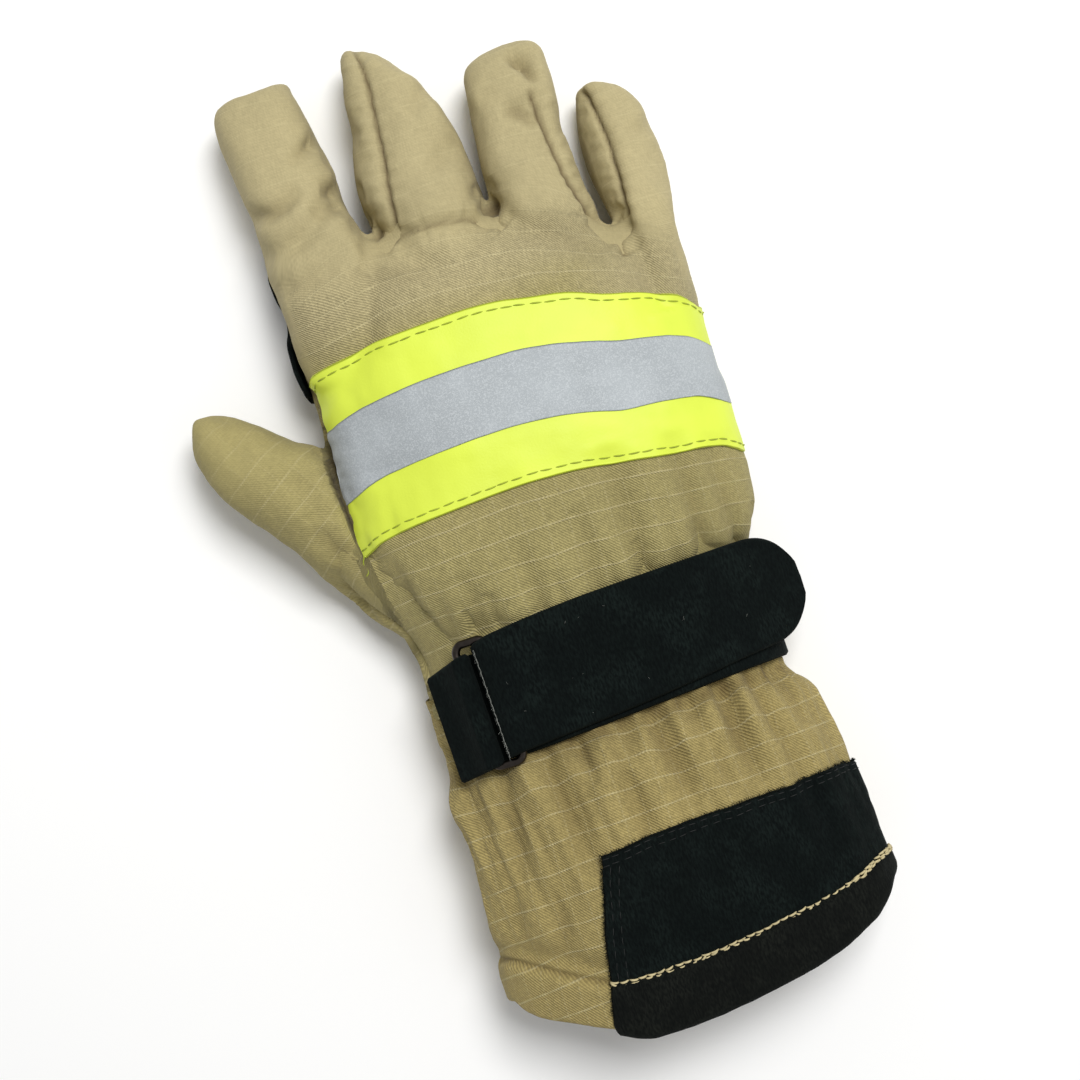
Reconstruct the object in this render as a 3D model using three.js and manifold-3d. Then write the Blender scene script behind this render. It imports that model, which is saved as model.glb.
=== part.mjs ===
// Firefighter glove for the right hand, lying palm down with its fingers a little curled.
//
// It is sewn from a back panel and a palm panel that each run out into the four fingers, three
// fourchettes that close the fingers' facing sides, a set-in thumb, and a gathered cuff with a turned
// hem. A reflective tape crosses the back, a suede patch covers part of the cuff and another the palm,
// and a suede strap runs from the little-finger side through a steel ring and back over itself.
//
// Millimetres. +X points to the little finger, +Y to the fingertips and +Z up, out of the back of the
// hand. All tables below are laid out from the middle of the wrist seam, on the surface it rests on.
import * as THREE from "three";
import { mergeVertices } from "three/addons/utils/BufferGeometryUtils.js";
import Module from "manifold-3d";

const wasm = await Module();
wasm.setup();

// Shell: quilted from outer cloth, moisture barrier and lining.
const WALL = 3;
const SEAM_GAP = 0.4;

// Hand, from the wrist seam to the deepest point between index and middle finger.
const HAND_LENGTH = 137.5;
const PALM_WIDTH = 116;
const PALM_THICKNESS = 46;
const KNUCKLE_LAG = 30; // how far the little-finger side of the knuckle line lies behind its highest point
const KNUCKLE_PEAK = -0.345; // place of that highest point, as a share of half the palm's width

// Cuff, from the wrist seam to the mouth.
const CUFF_LENGTH = 104;
const CUFF_WIDTH = 119;
const CUFF_THICKNESS = 52;
const MOUTH_CURVE = 15; // how far the mouth's edge bulges in the middle of the back
const MOUTH_PEAK = 5; // of that bulge, from the middle of the wrist
const HEM_WIDTH = 16;
const HEM_WALL = 3.6;
const GATHER_COUNT = 13;
const GATHER_DEPTH = 2.6;

// Trim.
const FOURCHETTE_LOW = 9.5; // height of the seam between the fourchettes and the palm panel
const PALM_PATCH_THICKNESS = 1.4;
const PALM_PATCH_HEIGHT = 18;
const CUFF_PATCH_THICKNESS = 1.4;
const TAPE_WIDTH = 50;
const TAPE_THICKNESS = 0.8;
const STRIP_WIDTH = 20;
const STRIP_THICKNESS = 0.4;
const TAPE_FROM_WRIST = 57; // wrist seam to the tape's lower edge, at the knuckle line's peak
const TAPE_FROM = -0.96; // the tape's end beside the thumb, as a share of half the palm's width
const TAPE_BOW = 11; // how far the lower edge falls back at the little-finger side
const TAPE_FLARE = 3.5; // how much further the upper edge does
const TAPE_LOW = 24; // height down to which the tape wraps on the little-finger side

// Wrist closure.
const STRAP_WIDTH = 33;
const STRAP_THICKNESS = 1.8;
const STRAP_REACH = 62.5; // middle of the wrist to the strap's round tip
const STRAP_SLANT = 3.3; // degrees that the upper run leans towards the fingers
const STRAP_DROOP = 0.34; // slope of the upper run's free end past the back of the wrist
const STRAP_SEWN_AT = -14; // degrees below the wrist's widest point where the lower run ends
const STRAP_LEAVES = 0.7; // where the upper run leaves the wrist, as a share of half the cuff's width
const STRAP_CLOSES = 0.35; // radians from the ring within which the two runs close up
const ANCHOR_CLOSES = 0.2;
const ANCHOR_WIDTH = 32.5;
const ANCHOR_REACH = -49.5; // middle of the wrist to the anchor's sewn end
const RING_WIRE = 2.4;
const RING_INSIDE = 34.8; // clear length between the ring's rails
const RING_BAR_SPACING = 8.9;
const RING_CORNER = 2.6;
const RING_PLACE = -29.5; // of the bar that carries the strap, from the middle of the wrist
const RING_SHIFT = -0.3; // of the ring's middle from the wrist seam

// Section shape.
const ROUNDNESS = 2.4; // exponent of the superellipse that every section follows
const WAIST = 0.45; // height of a section's widest point, as a share of its thickness
const FLATTEN = 1.12; // how much deeper than the surface it rests on the lower half would reach
const BODY_SIDES = 42;
const LINING_SIDES = 18;
const FINGER_SIDES = 16;
const FINGER_LINING_SIDES = 10;
const SMALLEST_HALF = 0.8; // of the hollow at a fingertip
const FAR = 400; // cutters reach past the whole glove

// Hand sections. at: share of HAND_LENGTH; left, right: shares of half the palm's width; top: share of
// PALM_THICKNESS; lag: share of KNUCKLE_LAG; gather: share of GATHER_DEPTH.
const HAND_ROWS = [
  { at: 0.0, left: -0.883, right: 0.905, top: 0.89, lag: 0, gather: 0.25 },
  { at: 0.138, left: -0.883, right: 0.905, top: 0.89, lag: 0, gather: 0.3 },
  { at: 0.19, left: -0.93, right: 0.948, top: 0.94, lag: 0.08, gather: 0.55 },
  { at: 0.276, left: -0.98, right: 1.0, top: 0.99, lag: 0.2, gather: 0.35 },
  { at: 0.385, left: -1.005, right: 1.03, top: 1.0, lag: 0.35, gather: 0.12 },
  { at: 0.509, left: -0.985, right: 1.038, top: 1.0, lag: 0.43, gather: 0 },
  { at: 0.771, left: -0.941, right: 1.052, top: 0.98, lag: 0.62, gather: 0 },
  { at: 0.858, left: -0.934, right: 1.059, top: 0.93, lag: 0.75, gather: 0 },
  { at: 0.924, left: -0.922, right: 1.06, top: 0.86, lag: 0.88, gather: 0 },
  { at: 0.973, left: -0.89, right: 1.03, top: 0.73, lag: 0.97, gather: 0 },
  { at: 1.0, left: -0.81, right: 0.95, top: 0.48, lag: 1, gather: 0 },
];

// Cuff sections, from the mouth to the wrist. at: share of CUFF_LENGTH; left, right: shares of half the
// cuff's width; top: share of CUFF_THICKNESS; curve: share of MOUTH_CURVE; gather as above.
const CUFF_ROWS = [
  { at: 0.845, left: -0.931, right: 1.025, top: 0.965, curve: 0.6, gather: 0.05 },
  { at: 0.73, left: -0.958, right: 1.013, top: 0.99, curve: 0.5, gather: 0.08 },
  { at: 0.5, left: -0.911, right: 0.992, top: 0.97, curve: 0.3, gather: 0.3 },
  { at: 0.385, left: -0.923, right: 0.98, top: 0.945, curve: 0.18, gather: 0.6 },
  { at: 0.28, left: -0.924, right: 0.95, top: 0.885, curve: 0.08, gather: 1 },
  { at: 0.212, left: -0.875, right: 0.903, top: 0.81, curve: 0.02, gather: 0.8 },
  { at: 0.183, left: -0.861, right: 0.882, top: 0.788, curve: 0, gather: 0.3 },
  { at: 0.0, left: -0.861, right: 0.882, top: 0.788, curve: 0, gather: 0.25 },
];

// Hem sections, from the mouth up. at: share of HEM_WIDTH from the mouth; the rest as for the cuff.
const HEM_ROWS = [
  { at: 0, left: -0.93, right: 1.02, top: 0.95, curve: 1, gather: 0 },
  { at: 0.1, left: -0.948, right: 1.036, top: 0.972, curve: 0.97, gather: 0 },
  { at: 0.45, left: -0.961, right: 1.042, top: 0.99, curve: 0.82, gather: 0 },
  { at: 0.97, left: -0.935, right: 1.027, top: 0.968, curve: 0.61, gather: 0.05 },
];

// Fingers and thumb. root: where the tube starts inside the hand, as shares of half the palm's width and
// of HAND_LENGTH; heading: degrees to the left of +Y; length, width and depth in millimetres. In rows,
// along is a share of length; shift and wide are shares of half the width, shift being positive
// towards the little finger; mid and deep are shares of half the depth, mid being the centre's height.
// seamL and seamR are where a fourchette's seam runs on that side, as shares of the row's half width.
const FINGERS = {
  index: {
    root: [-0.629, 0.727], heading: 4.5, length: 90.8, width: 33, depth: 34,
    crotch: { right: 0.4 },
    rows: [
      { along: 0, shift: 0.1, wide: 0.8, mid: 1.33, deep: 0.8, seamR: 0.86 },
      { along: 0.25, shift: 0.03, wide: 0.98, mid: 1.3, deep: 1.07, seamR: 0.86 },
      { along: 0.475, shift: 0.06, wide: 0.96, mid: 1.2, deep: 1.0, seamR: 0.86 },
      { along: 0.641, shift: 0, wide: 0.87, mid: 1.06, deep: 0.94, seamR: 0.86 },
      { along: 0.752, shift: -0.04, wide: 0.88, mid: 0.96, deep: 0.9, seamR: 0.85 },
      { along: 0.862, shift: -0.075, wide: 0.83, mid: 0.85, deep: 0.87, seamR: 0.82 },
      { along: 0.939, shift: -0.06, wide: 0.75, mid: 0.78, deep: 0.76, seamR: 0.78 },
      { along: 0.975, shift: -0.01, wide: 0.62, mid: 0.76, deep: 0.58, seamR: 0.7 },
      { along: 1.0, shift: 0.03, wide: 0.4, mid: 0.76, deep: 0.3, seamR: 0.4 },
    ],
  },
  middle: {
    root: [-0.095, 0.713], heading: 1.2, length: 95.3, width: 36, depth: 35,
    crotch: { left: 0.4, right: 0.37 },
    rows: [
      { along: 0, shift: 0, wide: 0.8, mid: 1.33, deep: 0.8, seamL: -0.62, seamR: 0.86 },
      { along: 0.25, shift: 0.02, wide: 1.0, mid: 1.31, deep: 1.07, seamL: -0.62, seamR: 0.86 },
      { along: 0.472, shift: 0.055, wide: 1.01, mid: 1.22, deep: 1.0, seamL: -0.55, seamR: 0.86 },
      { along: 0.63, shift: 0.08, wide: 0.93, mid: 1.1, deep: 0.94, seamL: -0.45, seamR: 0.85 },
      { along: 0.735, shift: 0.1, wide: 0.81, mid: 1.0, deep: 0.9, seamL: -0.4, seamR: 0.84 },
      { along: 0.839, shift: 0.08, wide: 0.66, mid: 0.88, deep: 0.86, seamL: -0.33, seamR: 0.82 },
      { along: 0.913, shift: -0.065, wide: 0.42, mid: 0.78, deep: 0.74, seamL: -0.12, seamR: 0.76 },
      { along: 0.965, shift: -0.135, wide: 0.27, mid: 0.74, deep: 0.56, seamL: 0.12, seamR: 0.66 },
      { along: 1.0, shift: -0.2, wide: 0.12, mid: 0.72, deep: 0.3, seamL: 0.3, seamR: 0.6 },
    ],
  },
  ring: {
    root: [0.483, 0.698], heading: -2.06, length: 83.6, width: 31, depth: 33,
    crotch: { left: 0.41, right: 0.28 },
    rows: [
      { along: 0, shift: 0, wide: 0.8, mid: 1.36, deep: 0.8, seamL: -0.86, seamR: 0.92 },
      { along: 0.25, shift: -0.03, wide: 1.02, mid: 1.34, deep: 1.07, seamL: -0.86, seamR: 0.95 },
      { along: 0.502, shift: -0.1, wide: 0.97, mid: 1.22, deep: 0.98, seamL: -0.86, seamR: 0.72 },
      { along: 0.682, shift: -0.14, wide: 0.82, mid: 1.08, deep: 0.9, seamL: -0.86, seamR: 0.68 },
      { along: 0.801, shift: -0.03, wide: 0.81, mid: 0.95, deep: 0.88, seamL: -0.85, seamR: 0.66 },
      { along: 0.861, shift: -0.035, wide: 0.78, mid: 0.87, deep: 0.87, seamL: -0.84, seamR: 0.68 },
      { along: 0.921, shift: -0.025, wide: 0.73, mid: 0.79, deep: 0.8, seamL: -0.8, seamR: 0.64 },
      { along: 0.971, shift: -0.01, wide: 0.6, mid: 0.75, deep: 0.62, seamL: -0.74, seamR: 0.6 },
      { along: 1.0, shift: -0.01, wide: 0.4, mid: 0.74, deep: 0.32, seamL: -0.5, seamR: 0.5 },
    ],
  },
  little: {
    root: [0.862, 0.553], heading: 0, length: 84.6, width: 22, depth: 29,
    crotch: { left: 0.49 },
    rows: [
      { along: 0, shift: -0.1, wide: 0.7, mid: 1.5, deep: 0.7, seamL: -0.43 },
      { along: 0.26, shift: 0.08, wide: 1.02, mid: 1.48, deep: 1.17, seamL: -0.43 },
      { along: 0.437, shift: 0.25, wide: 0.96, mid: 1.4, deep: 1.12, seamL: -0.43 },
      { along: 0.556, shift: 0.36, wide: 0.94, mid: 1.3, deep: 1.08, seamL: -0.38 },
      { along: 0.674, shift: 0.385, wide: 0.99, mid: 1.17, deep: 1.04, seamL: -0.32 },
      { along: 0.768, shift: 0.4, wide: 0.99, mid: 1.03, deep: 1.0, seamL: -0.3 },
      { along: 0.851, shift: 0.4, wide: 0.83, mid: 0.92, deep: 0.93, seamL: -0.37 },
      { along: 0.91, shift: 0.355, wide: 0.67, mid: 0.85, deep: 0.84, seamL: -0.42 },
      { along: 0.958, shift: 0.245, wide: 0.47, mid: 0.8, deep: 0.66, seamL: -0.48 },
      { along: 1.0, shift: 0.14, wide: 0.22, mid: 0.78, deep: 0.34, seamL: -0.55 },
    ],
  },
};
const THUMB = {
  root: [-0.724, 0.24], heading: 35.5, length: 85, width: 36, depth: 32,
  rows: [
    { along: 0, shift: 0, wide: 0.85, mid: 1.2, deep: 0.85 },
    { along: 0.25, shift: 0, wide: 0.95, mid: 1.2, deep: 1.05 },
    { along: 0.5, shift: 0.08, wide: 0.97, mid: 1.19, deep: 1.02 },
    { along: 0.6, shift: 0.06, wide: 0.95, mid: 1.17, deep: 0.98 },
    { along: 0.7, shift: 0.0, wide: 0.86, mid: 1.14, deep: 0.94 },
    { along: 0.8, shift: 0.0, wide: 0.76, mid: 1.11, deep: 0.87 },
    { along: 0.88, shift: 0.02, wide: 0.65, mid: 1.09, deep: 0.76 },
    { along: 0.95, shift: 0.07, wide: 0.48, mid: 1.07, deep: 0.56 },
    { along: 1.0, shift: 0.11, wide: 0.25, mid: 1.06, deep: 0.28 },
  ],
};

// Patches seen from above, as shares of half the palm's width and of HAND_LENGTH.
const PALM_PATCH_OUTLINE = [
  { x: -1.12, y: 0.72 }, { x: -1.12, y: 1.04 }, { x: -0.66, y: 1.04 }, { x: -0.48, y: 0.85 },
  { x: 0.2, y: 0.81 }, { x: 0.66, y: 0.68 }, { x: 0.86, y: 0.44 }, { x: 0.66, y: 0.19 },
  { x: -0.48, y: 0.19 }, { x: -0.72, y: 0.36 }, { x: -0.74, y: 0.66 },
];

// The same for the patch on the cuff, as shares of half the cuff's width and of CUFF_LENGTH.
const CUFF_PATCH_OUTLINE = [
  { x: -0.262, y: -0.479 }, { x: -0.292, y: -0.487 }, { x: -0.301, y: -0.51 }, { x: -0.361, y: -0.635 },
  { x: -0.393, y: -0.709 }, { x: -0.434, y: -0.827 }, { x: -0.474, y: -1.1 }, { x: 0.985, y: -1.1 },
  { x: 0.982, y: -0.52 }, { x: 0.975, y: -0.5 }, { x: 0.955, y: -0.488 },
];

const halfPalm = PALM_WIDTH / 2;
const halfCuff = CUFF_WIDTH / 2;
const palmSeat = PALM_PATCH_THICKNESS + SEAM_GAP; // the palm panel rests on the palm patch

/** A signed power, which turns a circle's sine and cosine into a superellipse's. */
function bend(value, exponent) {
  return Math.sign(value) * Math.abs(value) ** exponent;
}

/** Every column of a row table, read at a place between two rows. */
function rowAt(rows, key, place) {
  const next = Math.max(1, rows.findIndex((row) => row[key] >= place));
  const [a, b] = [rows[next - 1], rows[next]];
  const share = (place - a[key]) / (b[key] - a[key]);
  return Object.fromEntries(Object.keys(a).map((name) => [name, a[name] + share * (b[name] - a[name])]));
}

/** A manifold solid from a closed geometry. */
function solidOf(geometry) {
  const bare = new THREE.BufferGeometry().setAttribute("position", geometry.getAttribute("position"));
  bare.setIndex(geometry.index);
  const merged = mergeVertices(bare, 1e-4);
  return new wasm.Manifold(
    new wasm.Mesh({
      numProp: 3,
      vertProperties: merged.attributes.position.array,
      triVerts: new Uint32Array(merged.index.array),
    }),
  );
}

/**
 * A solid through rings of equally many points, each turning from +X to +Z when seen along the way.
 * It is closed by a fan at each end, or as a hoop from the last ring to the first.
 */
function loft(rings, hoop = false) {
  const sides = rings[0].length;
  const points = rings.flat();
  const index = [];
  const last = (rings.length - 1) * sides;
  for (let i = 0; i < points.length; i += sides) {
    const next = i < last ? i + sides : 0;
    for (let j = 0; j < sides && (hoop || i < last); j++) {
      const k = (j + 1) % sides;
      index.push(i + j, next + j, next + k, i + j, next + k, i + k);
    }
  }
  if (!hoop) {
    const hub = (ring) => ring.reduce((sum, p) => sum.map((v, k) => v + p[k] / sides), [0, 0, 0]);
    points.push(hub(rings[0]), hub(rings.at(-1)));
    for (let j = 0; j < sides; j++) {
      const k = (j + 1) % sides;
      index.push(points.length - 2, j, k, points.length - 1, last + k, last + j);
    }
  }
  const geometry = new THREE.BufferGeometry();
  geometry.setAttribute("position", new THREE.Float32BufferAttribute(points.flat(), 3));
  geometry.setIndex(index);
  return solidOf(geometry);
}

/** A solid with a plan outline, from one height to another. */
function prism(outline, from, to) {
  const shape = new THREE.Shape(outline.map(([x, y]) => new THREE.Vector2(x, y)));
  const geometry = new THREE.ExtrudeGeometry(shape, { depth: to - from, bevelEnabled: false });
  return solidOf(geometry.translate(0, 0, from));
}

/** A solid with an outline in X and Z, of a width centred on a place along Y. */
function band(outline, width, place) {
  const shape = new THREE.Shape(outline.map(([x, z]) => new THREE.Vector2(x, z)));
  const geometry = new THREE.ExtrudeGeometry(shape, { depth: width, bevelEnabled: false });
  return solidOf(geometry.rotateX(Math.PI / 2).translate(0, place + width / 2, 0));
}

function joined(solids) {
  return solids.reduce((sum, solid) => sum.add(solid));
}

/** The largest body of a solid, without the crumbs that two nearly meeting cuts can leave beside it. */
function mainBody(solid) {
  return solid.decompose().reduce((best, body) => (body.volume() > best.volume() ? body : best));
}

/** How far the gathered cloth is tucked in at an angle round the wrist. */
function tuck(row, angle) {
  return row.gather * (0.5 + 0.5 * Math.cos(GATHER_COUNT * (angle + Math.PI / 2))) ** 2;
}

/** One point of a hand, cuff or hem section, grown outwards by a distance. */
function bodyPoint(row, angle, grow) {
  const [left, right] = [row.left - grow, row.right + grow];
  const waist = row.low + WAIST * (row.top - row.low);
  const [across, up] = [bend(Math.cos(angle), 2 / ROUNDNESS), bend(Math.sin(angle), 2 / ROUNDNESS)];
  const reach = up > 0 ? row.top - waist : (waist - row.low) * FLATTEN;
  const inward = grow < 0 ? 0 : tuck(row, angle);
  const x = (left + right) / 2 + ((right - left) / 2 - inward) * across;
  const z = Math.max(waist + (reach + grow - inward) * up, row.low - grow);
  return [x, row.at - row.lag * ((x - row.peak) / (right - row.peak)) ** 2, z];
}

/** A section's points, two thirds of them on the upper half, where the cloth isn't pressed flat. */
function bodyRing(row, grow, sides) {
  const upper = Math.round((2 * sides) / 3);
  return Array.from({ length: sides }, (_, k) => {
    const turn = k < upper ? k / upper : 1 + (k - upper) / (sides - upper);
    return bodyPoint(row, Math.PI * turn, grow);
  });
}

/** A solid through body rows, which can reach on past its first and last row. */
function bodyLoft(rows, grow, reach) {
  const ends = reach ? [[past(rows[0], -reach)], [past(rows.at(-1), reach)]] : [[], []];
  return loft([...ends[0], ...rows, ...ends[1]].map((row) => bodyRing(row, grow, BODY_SIDES)));
}

const handRows = HAND_ROWS.map((row) => ({
  at: row.at * HAND_LENGTH,
  left: row.left * halfPalm,
  right: row.right * halfPalm,
  top: row.top * PALM_THICKNESS,
  low: palmSeat,
  lag: row.lag * KNUCKLE_LAG,
  peak: KNUCKLE_PEAK * halfPalm,
  gather: row.gather * GATHER_DEPTH,
}));

/** A cuff or hem row in millimetres, at a distance along Y. */
function cuffRow(row, at) {
  return {
    at,
    left: row.left * halfCuff,
    right: row.right * halfCuff,
    top: row.top * CUFF_THICKNESS,
    low: at > -0.25 * CUFF_LENGTH ? palmSeat : 0,
    lag: -row.curve * MOUTH_CURVE,
    peak: MOUTH_PEAK,
    gather: row.gather * GATHER_DEPTH,
  };
}

const cuffRows = CUFF_ROWS.map((row) => cuffRow(row, -row.at * CUFF_LENGTH));
const hemRows = HEM_ROWS.map((row) => cuffRow(row, row.at * HEM_WIDTH - CUFF_LENGTH));
const past = (row, step) => ({ ...row, at: row.at + step });

/** A finger's point in plan, at a share of its length and a share of that row's half width. */
function fingerPlan(finger, row, across, grow = 0) {
  const heading = THREE.MathUtils.degToRad(finger.heading);
  const [sin, cos] = [Math.sin(heading), Math.cos(heading)];
  const half = Math.max((row.wide * finger.width) / 2 + grow, SMALLEST_HALF);
  const along = row.along * (finger.length + grow);
  const side = (row.shift * finger.width) / 2 + half * across;
  return [
    finger.root[0] * halfPalm - sin * along + cos * side,
    finger.root[1] * HAND_LENGTH + cos * along + sin * side,
  ];
}

function fingerTube(finger, grow, sides) {
  return loft(
    finger.rows.map((row) =>
      Array.from({ length: sides }, (_, k) => {
        const angle = (2 * Math.PI * k) / sides;
        const [x, y] = fingerPlan(finger, row, bend(Math.cos(angle), 2 / ROUNDNESS), grow);
        const half = Math.max((row.deep * finger.depth) / 2 + grow, SMALLEST_HALF);
        const z = (row.mid * finger.depth) / 2 + half * bend(Math.sin(angle), 2 / ROUNDNESS);
        return [x, y, Math.max(z, -Math.min(grow, 0))];
      }),
    ),
  );
}

/** The hand and its fingers, without the thumb, grown outwards by a distance. */
function handAndFingers(grow) {
  const tubes = Object.values(FINGERS).map((finger) => fingerTube(finger, grow, FINGER_SIDES));
  return joined([loft(handRows.map((row) => bodyRing(row, grow, BODY_SIDES))), ...tubes]);
}

/** The first, the last and every second row between, which is fine enough for the lining. */
function everySecond(rows) {
  return rows.filter((_, k) => k % 2 === 1 || k === 0 || k === rows.length - 1);
}

function handHollow() {
  const inside = everySecond(handRows.filter((row) => row.at < HAND_LENGTH - WALL));
  const rows = [past(handRows[0], -WALL), ...inside];
  const tubes = [...Object.values(FINGERS), THUMB].map((finger) =>
    fingerTube({ ...finger, rows: everySecond(finger.rows) }, -WALL, FINGER_LINING_SIDES),
  );
  return joined([loft(rows.map((row) => bodyRing(row, -WALL, LINING_SIDES))), ...tubes]);
}

/** Everything above or below the side seam, which sinks with the fingers. side is 1 or -1. */
function besideSeam(side) {
  const heights = [
    [-FAR, WAIST * PALM_THICKNESS], [0.7 * HAND_LENGTH, WAIST * PALM_THICKNESS],
    [HAND_LENGTH, 0.41 * PALM_THICKNESS], [1.4 * HAND_LENGTH, 0.3 * PALM_THICKNESS],
    [FAR, 0.3 * PALM_THICKNESS],
  ];
  const edge = heights.map(([y, z]) => new THREE.Vector2(-y, z + (side * SEAM_GAP) / 2));
  const corners = [-FAR, FAR].map((x) => new THREE.Vector2(x, side * FAR));
  const shape = new THREE.Shape([...edge, ...corners]);
  const geometry = new THREE.ExtrudeGeometry(shape, { depth: 2 * FAR, bevelEnabled: false });
  // The outline's first axis turns to -Y, its second to +Z, and its depth runs along X.
  const turn = new THREE.Matrix4().makeBasis(
    new THREE.Vector3(0, -1, 0), new THREE.Vector3(0, 0, 1), new THREE.Vector3(-1, 0, 0),
  );
  return solidOf(geometry.applyMatrix4(turn).translate(FAR, 0, 0));
}

/** A seam's plan points on one side of a finger, from its crotch to just past its tip. */
function seamLine(finger, side) {
  const steps = 8;
  const from = finger.crotch[side];
  const key = side === "left" ? "seamL" : "seamR";
  const line = Array.from({ length: steps + 1 }, (_, k) => {
    const row = rowAt(finger.rows, "along", from + ((1 - from) * k) / steps);
    return fingerPlan(finger, row, row[key]);
  });
  const [x, y] = line.at(-1);
  return [...line, [x, y + 4 * WALL]];
}

/** The prism that holds one fourchette, grown sideways and downwards by a distance. */
function fourchetteCutter(near, far, grow) {
  const left = seamLine(near, "right").map(([x, y]) => [x - grow, y]);
  const right = seamLine(far, "left").map(([x, y]) => [x + grow, y]);
  const low = Math.min(left[0][1], right[0][1]) - WALL - grow;
  const outline = [[left[0][0], low], [right[0][0], low], ...right, ...left.toReversed()];
  return prism(outline, FOURCHETTE_LOW - grow, FAR);
}

// Hand shell and the panels it is cut into.
const hollow = handHollow();
const thumbTube = fingerTube(THUMB, 0, FINGER_SIDES);
const handShell = handAndFingers(0).subtract(hollow);
const thumbShell = thumbTube.subtract(handAndFingers(SEAM_GAP)).subtract(hollow);
const pairs = [
  ["fourchette_index_middle", FINGERS.index, FINGERS.middle],
  ["fourchette_middle_ring", FINGERS.middle, FINGERS.ring],
  ["fourchette_ring_little", FINGERS.ring, FINGERS.little],
];
const slots = joined(pairs.map(([, near, far]) => fourchetteCutter(near, far, SEAM_GAP)));
const backPanel = handShell.intersect(besideSeam(1)).subtract(slots);
const palmPanel = handShell.intersect(besideSeam(-1)).subtract(slots);

// Cuff and hem.
const cuffLining = (wall, from, to) => {
  const rows = [past(hemRows[0], from), ...hemRows, ...cuffRows, past(cuffRows.at(-1), to)];
  return loft(rows.map((row) => bodyRing(row, -wall, LINING_SIDES)));
};
const cuffOuter = (grow, reach = 0) => bodyLoft(cuffRows, grow, reach);
const hemOuter = (grow, reach = 0) => bodyLoft(hemRows, grow, reach);
const cuffShell = cuffOuter(0).translate([0, -SEAM_GAP / 2, 0]).subtract(cuffLining(WALL, -WALL, WALL));
const hemShell = hemOuter(0).subtract(cuffLining(HEM_WALL, -WALL, WALL));

/** A layer of a thickness that lies on a surface, which is a function of how far it is grown. */
function layerOn(surface, thickness) {
  return surface(SEAM_GAP + thickness).subtract(surface(SEAM_GAP, thickness));
}

const inPlan = (outline, wide, long) => outline.map(({ x, y }) => [x * wide, y * long]);

// Patches.
const palmReach = prism(inPlan(PALM_PATCH_OUTLINE, halfPalm, HAND_LENGTH), -FAR, PALM_PATCH_HEIGHT);
const palmPatch = layerOn(handAndFingers, PALM_PATCH_THICKNESS)
  .intersect(palmReach)
  .subtract(fingerTube(THUMB, SEAM_GAP, FINGER_SIDES));
const cuffReach = prism(inPlan(CUFF_PATCH_OUTLINE, halfCuff, CUFF_LENGTH), WAIST * CUFF_THICKNESS, FAR);
const cuffLayer = layerOn(cuffOuter, CUFF_PATCH_THICKNESS).translate([0, -SEAM_GAP / 2, 0]);
const cuffPatch = cuffLayer.intersect(cuffReach);
const hemPatch = layerOn(hemOuter, CUFF_PATCH_THICKNESS)
  .intersect(cuffReach)
  .subtract(cuffOuter(SEAM_GAP + CUFF_PATCH_THICKNESS + SEAM_GAP));

/** A line across the back of the hand that is bowed like the knuckles, from -X to +X. */
function knuckleLine(inset) {
  const steps = 14;
  const peak = KNUCKLE_PEAK * halfPalm;
  const bow = TAPE_BOW + (TAPE_FLARE * inset) / TAPE_WIDTH;
  return Array.from({ length: steps + 1 }, (_, k) => {
    const x = halfPalm * (TAPE_FROM + (k / steps) * (2 - TAPE_FROM));
    return [x, TAPE_FROM_WRIST + inset - bow * ((x - peak) / (halfPalm - peak)) ** 2];
  });
}

// Reflective tape, which follows the knuckle line.
const tapeReach = (inset) => {
  const outline = [...knuckleLine(inset), ...knuckleLine(TAPE_WIDTH - inset).toReversed()];
  return prism(outline, TAPE_LOW, FAR);
};
const tape = layerOn(handAndFingers, TAPE_THICKNESS).intersect(tapeReach(0)).subtract(thumbTube);
const strip = layerOn((grow) => handAndFingers(TAPE_THICKNESS + SEAM_GAP + grow), STRIP_THICKNESS)
  .intersect(tapeReach((TAPE_WIDTH - STRIP_WIDTH) / 2))
  .subtract(thumbTube);

// Wrist closure. The strap and its anchor are bent in X and Z, over the wrist's own section.
const wristRow = { ...handRows[0], gather: 0 };

/** A point over the wrist at an angle, by its distance from the cloth. */
function overWrist(angle, away) {
  const step = 0.01;
  const [x, , z] = bodyPoint(wristRow, angle, 0);
  const [a, b] = [bodyPoint(wristRow, angle - step, 0), bodyPoint(wristRow, angle + step, 0)];
  const length = Math.hypot(b[0] - a[0], b[2] - a[2]);
  return [x + (away * (b[2] - a[2])) / length, z - (away * (b[0] - a[0])) / length];
}

/** The angle at which the wrist's section passes a place across the back. */
function angleAt(x) {
  const middle = (wristRow.left + wristRow.right) / 2;
  const half = (wristRow.right - wristRow.left) / 2;
  return Math.acos(bend((x - middle) / half, ROUNDNESS / 2));
}

/** An outline between two distances from the cloth, which are functions of the angle. */
function wristRun(from, to, inner, outer) {
  const steps = 14;
  const angles = Array.from({ length: steps + 1 }, (_, k) => from + ((to - from) * k) / steps);
  return [
    ...angles.map((angle) => overWrist(angle, outer(angle))),
    ...angles.toReversed().map((angle) => overWrist(angle, inner(angle))),
  ];
}

/** Points on a circle's arc from one angle to another. */
function arc([x, z], radius, from, to) {
  const steps = 14;
  return Array.from({ length: steps + 1 }, (_, k) => {
    const angle = from + ((to - from) * k) / steps;
    return [x + radius * Math.cos(angle), z + radius * Math.sin(angle)];
  });
}

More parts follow.
